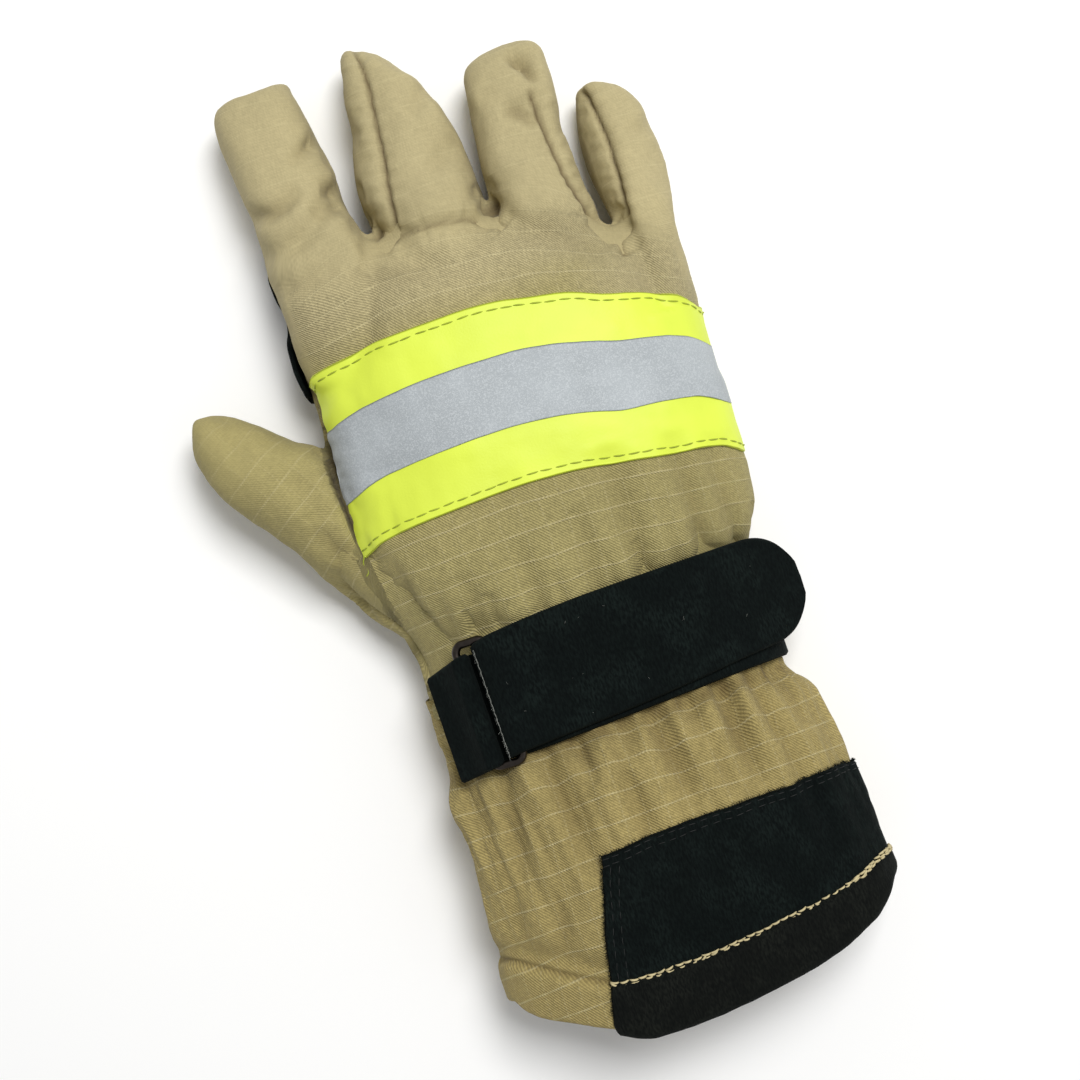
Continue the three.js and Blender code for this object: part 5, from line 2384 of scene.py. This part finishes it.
@dataclass
class CuffPatch:
    """The suede on the cuff: a patch, and the strip that binds the rim below it.

    Attributes:
        thickness: Of the suede.
        left_end: Seen place across, about where both start.
        right_end: Section angle in degrees where both end under the cuff.
    """

    thickness: float = 1.4
    left_end: float = -16.0
    right_end: float = -12.0

    def angles(self, lines: tuple[Table, Table], rows: int) -> tuple[Array, Array]:
        """Section angles of the two ends of each row.

        Args:
            lines: Lower and upper edge.
            rows: How many rows.

        Returns:
            Angles at the left and the right end.
        """
        t = np.linspace(0, 1, rows)
        low, high = (read_line(line, np.array([self.left_end]))[0] for line in lines)
        y = low + (high - low) * t
        edge = np.array(PATCH_LEFT)
        x = spline(edge[:, 1], edge[:, 0], y)
        return CUFF.angle_at(y, x), np.full(rows, math.radians(self.right_end))

    def sheet(self, tree: BVHTree, low: Table, high: Table, rows: int) -> tuple[Array, Array]:
        """Grid of one of the two pieces.

        Args:
            tree: The cuff's skin.
            low: Its edge towards the rim.
            high: Its edge towards the wrist.
            rows: Points along.

        Returns:
            Points and normals.
        """
        return body_layer(CUFF, tree, low, high, self.angles((low, high), rows), rows, 150)

    @staticmethod
    def wrapped(points: Array, normals: Array, wall: float) -> tuple[Array, Array]:
        """Carries a sheet on round the rim to the cuff's inside.

        Args:
            points: (rows, across, 3) grid whose first row lies at the rim.
            normals: Its normals.
            wall: Thickness of the cuff.

        Returns:
            The longer grid and its normals.
        """
        down, out, half = np.array([0.0, -1.0, 0.0]), normals[0], wall / 2
        core = points[0] - out * half
        more, ways = [], []
        for back in (6.0, 4.0, 2.0, 0.6):
            more.append(core - out * half - down * back)
            ways.append(-out)
        for turn in np.linspace(math.pi, 0.15, 11):
            more.append(core + math.cos(turn) * out * half + math.sin(turn) * down * (half + 0.9))
            ways.append(math.cos(turn) * out + math.sin(turn) * down)
        return np.concatenate([np.array(more), points]), np.concatenate([np.array(ways), normals])

    def build(self, cuff: Cuff, wardrobe: Wardrobe) -> None:
        """Makes both pieces and their stitches.

        Args:
            cuff: The cuff.
            wardrobe: The finishes.
        """
        points, normals = self.sheet(cuff.tree, HEM_LINE, PATCH_TOP, 60)
        patch = dress(
            "cuff_suede_patch", slab(points, normals, self.thickness), wardrobe.suede,
            ("cuff_patch",)
        )
        rim = tuple((x, y + 3.4) for x, y in RIM)
        lower = tuple((x, y - 0.5) for x, y in HEM_LINE)
        low_points, low_normals = self.sheet(cuff.tree, rim, lower, 26)
        low_points, low_normals = self.wrapped(low_points, low_normals, cuff.wall)
        binding = slab(low_points, low_normals, self.thickness)
        strip = dress("hem_suede_strip", binding, wardrobe.brown_suede, ("hem_patch",))
        top = points + normals * (self.thickness + 0.1)
        sewn = [
            stitches(top[row] - 0.05 * normals[row], normals[row], 3.4, 1.0, 0.13, 0.1, 51)
            for row in (np.s_[-3], np.s_[-6], np.s_[2:-2, 3], np.s_[2:-2, 6])
        ]
        dress("patch_stitches", merged(sewn), wardrobe.black_thread)
        up, left = np.array([0.0, 1.0, 0.0]), np.array([-1.0, 0.0, 0.0])
        lift = 0.7 * self.thickness
        edges = [
            (points[-1], normals[-1], up, 700, 91), (points[:, 0], normals[:, 0], left, 300, 92)
        ]
        edges.append((low_points[20:, 0], low_normals[20:, 0], left, 60, 93))
        nap = [
            fibres(p + n * lift, n, np.tile(w, (len(p), 1)), c, 0.55, 0.065, s) for p, n, w, c,
            s in edges
        ]
        dress("patch_edge_nap", merged(nap), wardrobe.suede)
        line, edge = points[1] + normals[1] * (self.thickness + 0.45), normals[1]
        chain = [
            stitches(line + side * up, edge, 2.7, 0.15, 0.36, 0.3, seed)
            for side, seed in ((0.5, 61), (-0.5, 62))
        ]
        chain.append(stitches(line + 0.25 * edge, edge, 3.3, 1.2, 0.34, 0.7, 63))
        dress("hem_stitches", merged(chain), wardrobe.khaki_thread)


PATCH_LEFT = (
    (-24.5, -151), (-24, -146.5), (-23, -140), (-21.5, -131), (-20.5, -125), (-19, -118),
    (-17, -110), (-15, -102),
    (-13, -96), (-12.6, -93), (-12.6, -90),
)
PATCH_TOP = (
    (-54, -95), (-12.5, -94), (0, -93), (15, -92.3), (45, -92.3), (60, -91.3), (64.5, -91.5),
    (68.5, -92)
)


@dataclass
class PalmPatch:
    """The suede palm, whose edge shows beside the index finger.

    Attributes:
        thickness: Of the suede.
        foot: Height at which its edge beside the index finger starts.
        finger: Seen place across of that finger's middle.
    """

    thickness: float = 1.4
    foot: float = 2.5
    finger: float = -33.0

    def build(self, shell: Shell, wardrobe: Wardrobe) -> None:
        """Makes the patch as a sheet under the palm.

        Args:
            shell: The hand.
            wardrobe: The finishes.
        """
        rows, across = 90, 110
        y = np.linspace(PALM_OUTLINE[0][0], PALM_OUTLINE[-1][0], rows)
        left, right = (spline(column(PALM_OUTLINE, 0), column(PALM_OUTLINE, k), y) for k in (1, 2))
        t = np.linspace(0, 1, across)[None, :]
        x = left[:, None] + (right - left)[:, None] * t
        points, normals = np.zeros((2, rows, across, 3))
        for i, j in np.ndindex(rows, across):
            plan = (x[i, j] + CAMERA.shift[0], y[i] + CAMERA.shift[1])
            hit, normal, _, _ = shell.tree.ray_cast(Vector((*plan, -5)), Vector((0, 0, 1)))
            if hit is None:
                hit, normal, _, _ = shell.tree.find_nearest(Vector((*plan, 4)))
            points[i, j], normals[i, j] = hit, normal
        points, normals = smoothed(points, 10), unit(smoothed(normals, 10))
        sheet = slab(points, normals, self.thickness)
        sheet.points[:, 2] = np.maximum(sheet.points[:, 2], 0.0)
        sheet = merged([sheet, self.lobe(shell)])
        piece = dress("palm_suede_patch", sheet, wardrobe.suede, ("palm_patch",))

    def lobe(self, shell: Shell) -> Shape:
        """The patch's edge that is drawn up the side of the index finger's base.

        Args:
            shell: The hand.

        Returns:
            The closed edge.
        """
        rows, across = 60, 16
        y = np.linspace(LOBE[0][0], LOBE[-1][0], rows)
        rim, stand = (np.interp(y, column(LOBE, 0), column(LOBE, k)) for k in (1, 2))
        points, normals = np.zeros((2, rows, across, 3))
        for i, j in np.ndindex(rows, across):
            z = self.foot + (rim[i] - self.foot) * j / (across - 1)
            start = Vector((self.finger + CAMERA.shift[0], y[i] + CAMERA.shift[1], z))
            hit, normal, _, _ = shell.tree.ray_cast(start + Vector((-26, 0, 0)), Vector((1, 0, 0)))
            points[i, j], normals[i, j] = (hit, normal) if hit else (start, (-1, 0, 0))
        points, normals = smoothed(points, 12), unit(smoothed(normals, 12))
        stand = stand[:, None] * np.linspace(0.1, 1, across)[None, :]
        return slab(points + normals * stand[..., None], normals, self.thickness)


# Seen place along, height of the lobe's upper edge, and how far that stands off the finger.
LOBE = (
    (60.5, 16, 0.1), (63, 23, 1.2), (70, 24.5, 1.5), (77, 23.2, 0.9), (78, 23, 0.74), (82, 17, 0.1),
    (88, 14.5, 0.1), (90, 15.7, 0.1), (93, 17.5, 0.08), (100, 17, 0.04), (107, 8, 0),
)
# Seen place along, left and right edge.
PALM_OUTLINE = (
    (-14, -26, 36), (-2, -34, 42), (14, -40, 47), (34, -42, 50), (50, -43, 48), (66, -46, 42),
    (80, -47, 30),
    (90, -47, 8), (96, -47, -12), (103, -47.5, -24), (112, -48, -26),
)


# The closure at the wrist


@dataclass
class Closure:
    """The suede strap, the anchor and the steel ring between them.

    Attributes:
        thickness: Of the suede.
        clearance: Between the cloth and the strap's lower run.
        wire: Diameter of the ring's wire.
        inside: Clear length between the ring's rails.
        bars: Distance between the ring's bars.
        corner: Bending radius of the ring's corners.
        nose: How far the strap's fold stands off the bar, as a multiple of its radius.
        middle: Seen place along of the ring's middle.
        bar_x: Place across of the bar that carries the strap.
        width: Of the suede.
        section: Row place of the hand's section that strap and anchor follow.
        height: Height above the table at which they cross the hand.
    """

    thickness: float = 1.8
    clearance: float = 0.35
    wire: float = 2.4
    inside: float = 34.2
    bars: float = 8.7
    corner: float = 2.6
    nose: float = 1.7
    middle: float = -40.6
    bar_x: float = -23.4
    width: float = 34.4
    section: float = -38.0
    height: float = 41.0

    def angle(self, x: float) -> float:
        """Section angle of a place on the wrist.

        Args:
            x: Seen place across.

        Returns:
            The angle.
        """
        return float(HAND.angle_at(np.array([self.section]), np.array([x]))[0])

    def over(self, angle: Array, away: Array) -> Array:
        """Points over the wrist's section.

        Args:
            angle: Section angles.
            away: Distances from the cloth.

        Returns:
            (n, 3) points at the strap's middle line.
        """
        step = 0.01
        along = np.full_like(angle, self.section)
        here, before, after = (HAND.point(along, angle + s) for s in (0, -step, step))
        way = after - before
        normal = unit(np.stack([way[:, 2], np.zeros(len(angle)), -way[:, 0]], axis=1))
        points = here + normal * np.broadcast_to(away, len(angle))[:, None]
        points[:, 1] = CAMERA.place(np.array([0, self.middle]), self.height)[1]
        return points

    @staticmethod
    def edges(path: Array, table: Table) -> tuple[Array, Array]:
        """Offsets of a strap's edges from its path, from where they are seen.

        Args:
            path: (n, 3) points.
            table: Seen place across, and along of the near and the far edge.

        Returns:
            Offsets of the near and the far edge.
        """
        scale = CAMERA.scale(path[:, 2])
        x = (path[:, 0] - CAMERA.shift[0]) / scale
        near, far = (spline(column(table, 0), column(table, k), x) * scale for k in (1, 2))
        return near + CAMERA.shift[1] - path[:, 1], far + CAMERA.shift[1] - path[:, 1]

    def ribbon(self, path: Array, low: Array, high: Array, seed: int, sides: int = 26) -> Shape:
        """A leather strap with soft edges, along a path in X and Z.

        Args:
            path: (n, 3) points of its middle surface.
            low: Offset of its near edge at each point.
            high: Offset of its far edge.
            seed: Which unevenness.
            sides: Points across.

        Returns:
            The closed strap.
        """
        way = np.gradient(path, axis=0)
        normal = unit(np.stack([-way[:, 2], np.zeros(len(path)), way[:, 0]], axis=1))
        length = path_lengths(path)
        half = self.thickness / 2
        u = np.concatenate([np.linspace(0, 1, sides), [1.0], np.linspace(1, 0, sides), [0.0]])
        v = np.concatenate([np.ones(sides), [0.0], -np.ones(sides), [0.0]])
        near_edge = np.clip(1 - np.minimum(u, 1 - u) * sides / 1.2, 0, 1)
        inset = 0.45 * self.thickness * np.where(v == 0, 0, near_edge)
        inset = np.where(u > 0.5, -inset, inset)
        across = low[:, None] + (high - low)[:, None] * u[None, :] + inset[None, :]
        wave = 0.16 * wander(length, seed, 17.0)[:, None] * wander(across[0], seed + 1, 14.0)
        shift = v[None, :] * half * np.minimum(1, (high - low)[:, None] / 2.0) + wave
        rings = path[:, None, :] + normal[:, None, :] * shift[..., None]
        rings[..., 1] += across
        return facing_out(loft(rings))

    def build(self, wardrobe: Wardrobe) -> None:
        """Makes strap, anchor and ring.

        Args:
            wardrobe: The finishes.
        """
        away = self.clearance + self.thickness + self.hole
        angles = np.array([self.angle(self.bar_x), self.angle(self.bar_x - self.bars)])
        bar, other = self.over(angles, away)
        foot = self.over(angles[:1], 0.0)[0]
        up = math.atan2(bar[2] - foot[2], bar[0] - foot[0])
        self.strap(bar, angles[0], up, wardrobe)
        self.anchor(other, angles, up, wardrobe)
        dress("ring", self.ring(bar, other), wardrobe.steel, ("strap_ring",))

    @property
    def hole(self) -> float:
        """Radius of the hole that the suede leaves round a bar."""
        return self.wire / 2 + 0.3

    def around(self, centre: Array, turn: Array, stretch: Array | float = 1.0) -> Array:
        """Middle line of the suede round a bar.

        Args:
            centre: The bar's middle.
            turn: Angles.
            stretch: How much further out it lies across, at each angle.

        Returns:
            (n, 3) points.
        """
        radius = self.hole + self.thickness / 2
        course = [stretch * radius * np.cos(turn), np.zeros(len(turn)), radius * np.sin(turn)]
        return centre + np.stack(course, axis=1)

    def strap_path(self, bar: Array, bar_angle: float, up: float) -> Array:
        """The strap's course: a lower run to the ring, a fold round it, and an upper run back.

        Args:
            bar: Middle of its bar.
            bar_angle: The bar's section angle.
            up: Angle at which the bar stands over the cloth.

        Returns:
            (n, 3) points.
        """
        half = self.thickness / 2
        under = np.linspace(math.radians(-14), bar_angle - 0.02, 70)
        lower = self.over(under, self.clearance + half)
        turn = np.linspace(up - math.pi + 0.1, up - 2 * math.pi + 0.1, 22)
        fold = self.around(bar, turn, np.where(np.cos(turn) < 0, self.nose, 1.0))
        back = np.linspace(bar_angle - 0.06, self.angle(41.0), 60)
        lift = np.maximum(0, 1 - (bar_angle - back) / 0.35) ** 2
        base = self.clearance + self.thickness + 0.25 + half
        upper = self.over(back, base + (2 * self.hole - 0.25) * lift)
        step = upper[-1] - upper[-2]
        x = np.linspace(0, 26.5, 40)[1:]
        droop = step[2] / step[0] * x - 0.0045 * x**2
        tail = upper[-1] + np.stack([x, np.zeros(39), droop], axis=1)
        return self.evened(np.concatenate([lower, fold, upper, tail]), 230)

    def strap(self, bar: Array, bar_angle: float, up: float, wardrobe: Wardrobe) -> None:
        """Makes the strap with its round end, and the lint on it.

        Args:
            bar: Middle of its bar.
            bar_angle: The bar's section angle.
            up: Angle at which the bar stands over the cloth.
            wardrobe: The finishes.
        """
        path = self.strap_path(bar, bar_angle, up)
        length, size = path_lengths(path), self.width / 2
        end = np.clip(1 - (length[-1] - length) / (size * 0.95), 0, 1)
        round_end = np.sqrt(np.clip(1 - end**2.3, 0, 1))
        round_end = round_end * smoothstep(-0.01, 0.01, np.linspace(0, 1, len(path)))
        on_top = smoothstep(-8, 8, length - length[-1] * 0.5)
        below, above = self.edges(path, LOWER_EDGES), self.edges(path, STRAP_EDGES)
        low, high = (a + (b - a) * on_top for a, b in zip(below, above))
        middle, reach = (low + high) / 2, (high - low) / 2 * round_end
        low, high = middle - reach, middle + reach
        shape = self.ribbon(path, low, high, 71)
        piece = dress("wrist_strap_suede", shape, wardrobe.suede, ("wrist_strap",))
        nose = (low[len(low) // 2], high[len(high) // 2])
        dress("strap_lint", self.lint(shape, bar, nose), wardrobe.fold_line_thread)

    def lint(self, strap: Shape, bar: Array, nose: tuple[float, float]) -> Shape:
        """A pale grey line along the strap's fold, and loose fibres on it.

        Args:
            strap: The strap.
            bar: Middle of its bar.
            nose: Offsets of the strap's two edges at the fold.

        Returns:
            The lint.
        """
        outer = self.hole + self.thickness
        place = bar + [self.nose * 1.04 * outer * math.cos(2.3), 0.0, outer * math.sin(2.3)]
        # A thin pale grey thread laid along the outer curve of the strap's fold.
        fold_line = np.tile(place, (60, 1))
        fold_line[:, 1] += np.linspace(nose[0] + 0.6, nose[1] - 1.5, 60)
        fold_line[:, 0] += 0.12 * wander(fold_line[:, 1], 95, 3.0)
        out = np.tile([-0.6, 0.0, 0.8], (60, 1))
        line = sweep(fold_line, 0.1 + 0.07 * wander(fold_line[:, 1], 96, 1.7), 5)
        seen = np.random.default_rng(98).uniform((-26, -54), (62, -22), (26, 2))
        spots, ways = project(strap.tree(), seen)
        loose = fibres(spots, ways, 0.3 * ways, 26, 0.5, 0.055, 99)
        return merged([line, fibres(fold_line, out, out, 90, 0.5, 0.06, 97), loose])

    def anchor(self, other: Array, angles: Array, up: float, wardrobe: Wardrobe) -> None:
        """Makes the anchor, sewn down at the left and looped round the other bar, with its tongue.

        Args:
            other: Middle of its bar.
            angles: Section angles of the strap's bar and its own.
            up: Angle at which the bars stand over the cloth.
            wardrobe: The finishes.
        """
        half, far = self.thickness / 2, self.angle(-41.6)
        course = np.linspace(angles[1], far, 36)
        first = self.over(course, self.clearance + half)
        ridge = np.maximum(0, 1 - (course - angles[1]) / 0.22) ** 2
        second = self.over(
            course, self.clearance + self.thickness + 0.1 + half + (half + 2 * self.hole) * ridge
        )
        loop = self.around(other, np.linspace(up, up - math.pi, 20))
        path = self.evened(np.concatenate([second[::-1], loop[1:-1], first]), 150)
        near, away = self.edges(path, ANCHOR_EDGES)
        under = self.over(np.linspace(far - 0.03, angles[0] - 0.12, 30), 0.12 + 0.35 * half)
        tongue_near, tongue_far = self.edges(under, ANCHOR_EDGES)
        skived = Closure(thickness=0.35 * self.thickness)
        thin = skived.ribbon(under, tongue_near + 0.8, tongue_far - 0.8, 83)
        shape = merged([self.ribbon(path, near, away, 81), thin])
        held = dress("strap_anchor_suede", shape, wardrobe.suede, ("strap_anchor",))

    @staticmethod
    def evened(path: Array, count: int) -> Array:
        """A path with its points evenly spread and its corners softened.

        Args:
            path: (n, 3) points.
            count: How many points are wanted.

        Returns:
            (count, 3) points.
        """
        length = path_lengths(path)
        even = read_path(path, length, np.linspace(0, length[-1], count))
        for _ in range(3):
            even[1:-1] = 0.5 * even[1:-1] + 0.25 * (even[:-2] + even[2:])
        return even

    def ring(self, bar: Array, other: Array) -> Shape:
        """The rectangular steel ring in the plane of its bars.

        Args:
            bar: Middle of the strap's bar.
            other: Middle of the anchor's bar.

        Returns:
            The ring.
        """
        tilt = math.atan2(bar[2] - other[2], bar[0] - other[0])
        half_across = math.hypot(bar[0] - other[0], bar[2] - other[2]) / 2
        half_long = (self.inside + self.wire) / 2
        rings, steps, sides = [], 10, 16
        for corner in range(4):
            east, north = (-1 if corner % 3 else 1), (1 if corner < 2 else -1)
            for k in range(steps + 1):
                turn = (corner + k / steps) * math.pi / 2
                angle = np.linspace(0, 2 * math.pi, sides, endpoint=False)
                reach = self.corner + self.wire / 2 * np.cos(angle)
                across = east * (half_across - self.corner) + reach * math.cos(turn)
                rise = self.wire / 2 * np.sin(angle)
                x = (bar[0] + other[0]) / 2 + math.cos(tilt) * across - math.sin(tilt) * rise
                y = bar[1] + north * (half_long - self.corner) + reach * math.sin(turn)
                z = (bar[2] + other[2]) / 2 + math.sin(tilt) * across + math.cos(tilt) * rise
                rings.append(np.stack([x, y, z], axis=1))
        grid = np.array(rings + [rings[0]])
        points = grid[:-1].reshape(-1, 3)
        quads = grid_faces(len(grid), sides, around=True) % len(points)
        return facing_out(Shape(points, [tuple(q) for q in quads]))


STRAP_EDGES = (
    (-31, -58, -22.6), (-24, -57.6, -21.3), (-5, -56.6, -19.8), (10, -55.8, -19.3),
    (30, -54.2, -19.2),
    (50, -52.2, -19.2), (60, -51.3, -19.4), (70, -50.6, -19.8),
)
LOWER_EDGES = (
    (-31, -58.7, -23.4), (-20, -58.5, -23.2), (0, -57.8, -23), (20, -57, -23), (40, -56.2, -22.5),
    (57, -55.7, -22), (70, -55.4, -22),
)
ANCHOR_EDGES = (
    (-50, -60.9, -29), (-45, -60.6, -28), (-39, -60, -26.2), (-33, -59.4, -24.6), (-20, -58.6, -24)
)


# Loose ends


@dataclass
class LooseEnds:
    """The few threads that were left hanging where a row of stitches ends."""

    def build(self, shell: Shell, cuff: Cuff, wardrobe: Wardrobe) -> None:
        """Makes the threads.

        Args:
            shell: The hand.
            cuff: The cuff.
            wardrobe: The finishes.
        """
        at_tape = ((-51, 13), (-51.4, 10.5), (-50.8, 8.2), (-51.6, 6.4))
        dress(
            "tape_thread_end", self.thread(shell.tree, at_tape, 0.9, 0.18), wardrobe.olive_thread,
        )
        ends = [
            self.thread(
                cuff.tree, ((63.2, -120), (64.6, -121.5), (65.2, -124), (64.6, -126)), 2.1, 0.24
            ),
            self.thread(
                cuff.tree, ((63.5, -119.5), (65.4, -120), (66, -122), (66.6, -122.4)), 2.2, 0.22
            ),
            self.thread(
                cuff.tree, ((-24, -131.6), (-21.5, -131.9), (-19, -132.3), (-16.5, -132)), 2.0, 0.3
            ),
        ]
        dress("hem_thread_ends", merged(ends), wardrobe.khaki_thread)
        knot = (
            (-12.2, -132.6), (-11.6, -131.6), (-10.4, -131.5), (-10, -132.6), (-11.2, -133),
            (-11.8, -132.2)
        )
        dress(
            "hem_knot", self.thread(cuff.tree, knot, 2.3, 0.42), wardrobe.brown_thread
        )

    @staticmethod
    def thread(tree: BVHTree, seen: Table, lift: float, radius: float) -> Shape:
        """A thread that lies on a surface.

        Args:
            tree: The surface.
            seen: Seen places along the thread.
            lift: Height of its middle above the surface.
            radius: Its radius.

        Returns:
            The thread.
        """
        share = np.linspace(0, 1, 26)
        knots = np.linspace(0, 1, len(seen))
        course = np.stack([spline(knots, column(seen, k), share) for k in (0, 1)], axis=1)
        points, normals = project(tree, course)
        return sweep(points + normals * lift, radius, 6)


# Table, light and the whole glove


@dataclass
class Studio:
    """A plain pale table under soft lights.

    Attributes:
        table: The table's colour.
        reach: How far the table goes to each side, in millimetres.
        key: Power of the large light over the glove.
        fill: Power of the light from the side.
        sky: Strength of the light from all round.
    """

    table: str = "FBFBFA"
    reach: float = 3000.0
    key: float = 16.5
    fill: float = 1.5
    sky: float = 0.37

    def light(
        self, name: str, place: tuple[float, float, float], size: float, power: float
    ) -> None:
        """A square light that faces the glove.

        Args:
            name: Its name.
            place: Where it hangs, in metres.
            size: Its edge, in metres.
            power: Its power in watts.
        """
        data = bpy.data.lights.new(name, "AREA")
        data.size, data.energy = size, power
        lamp = bpy.data.objects.new(name, data)
        lamp.location = place
        lamp.rotation_euler = (
            Vector((0.01, 0, 0.02)) - lamp.location
        ).to_track_quat("-Z", "Y").to_euler()
        bpy.context.scene.collection.objects.link(lamp)

    def build(self) -> None:
        """Makes table, lights and sky."""
        corners = np.array([(-1, -1, 0), (1, -1, 0), (1, 1, 0), (-1, 1, 0)]) * self.reach
        table = make_object("table", Shape(corners, [(0, 1, 2, 3)]))
        n = Nodes("table_matt_white")
        n.finish({"Base Color": linear(self.table), "Roughness": 0.9})
        table.data.materials.append(n.material)
        self.light("key", (0.38, 0.42, 1.3), 0.55, self.key)
        self.light("fill", (0.9, -0.7, 1.1), 1.2, self.fill)
        world = bpy.data.worlds.new("sky")
        world.use_nodes = True
        light = world.node_tree.nodes["Background"]
        light.inputs[0].default_value, light.inputs[1].default_value = linear("FFFFFF"), self.sky
        bpy.context.scene.world = world
        bpy.context.scene.view_settings.view_transform = "Standard"


@dataclass
class Glove:
    """The whole glove."""

    shell: Shell = field(default_factory=Shell)
    cuff: Cuff = field(default_factory=Cuff)
    tape: Tape = field(default_factory=Tape)
    closure: Closure = field(default_factory=Closure)
    cuff_patch: CuffPatch = field(default_factory=CuffPatch)
    palm_patch: PalmPatch = field(default_factory=PalmPatch)
    loose_ends: LooseEnds = field(default_factory=LooseEnds)

    def build(self) -> None:
        """Builds and dresses every part."""
        wardrobe = Wardrobe()
        self.shell.build(wardrobe)
        self.cuff.build(wardrobe)
        self.tape.build(self.shell, wardrobe)
        self.closure.build(wardrobe)
        self.cuff_patch.build(self.cuff, wardrobe)
        self.palm_patch.build(self.shell, wardrobe)
        self.loose_ends.build(self.shell, self.cuff, wardrobe)


def main() -> None:
    """Loads the frame, dresses it, and sets up table, light and camera."""
    logging.basicConfig(level=logging.INFO, format="%(name)s: %(message)s")
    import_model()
    Glove().build()
    Studio().build()
    CAMERA.build()


if __name__ == "__main__":
    main()
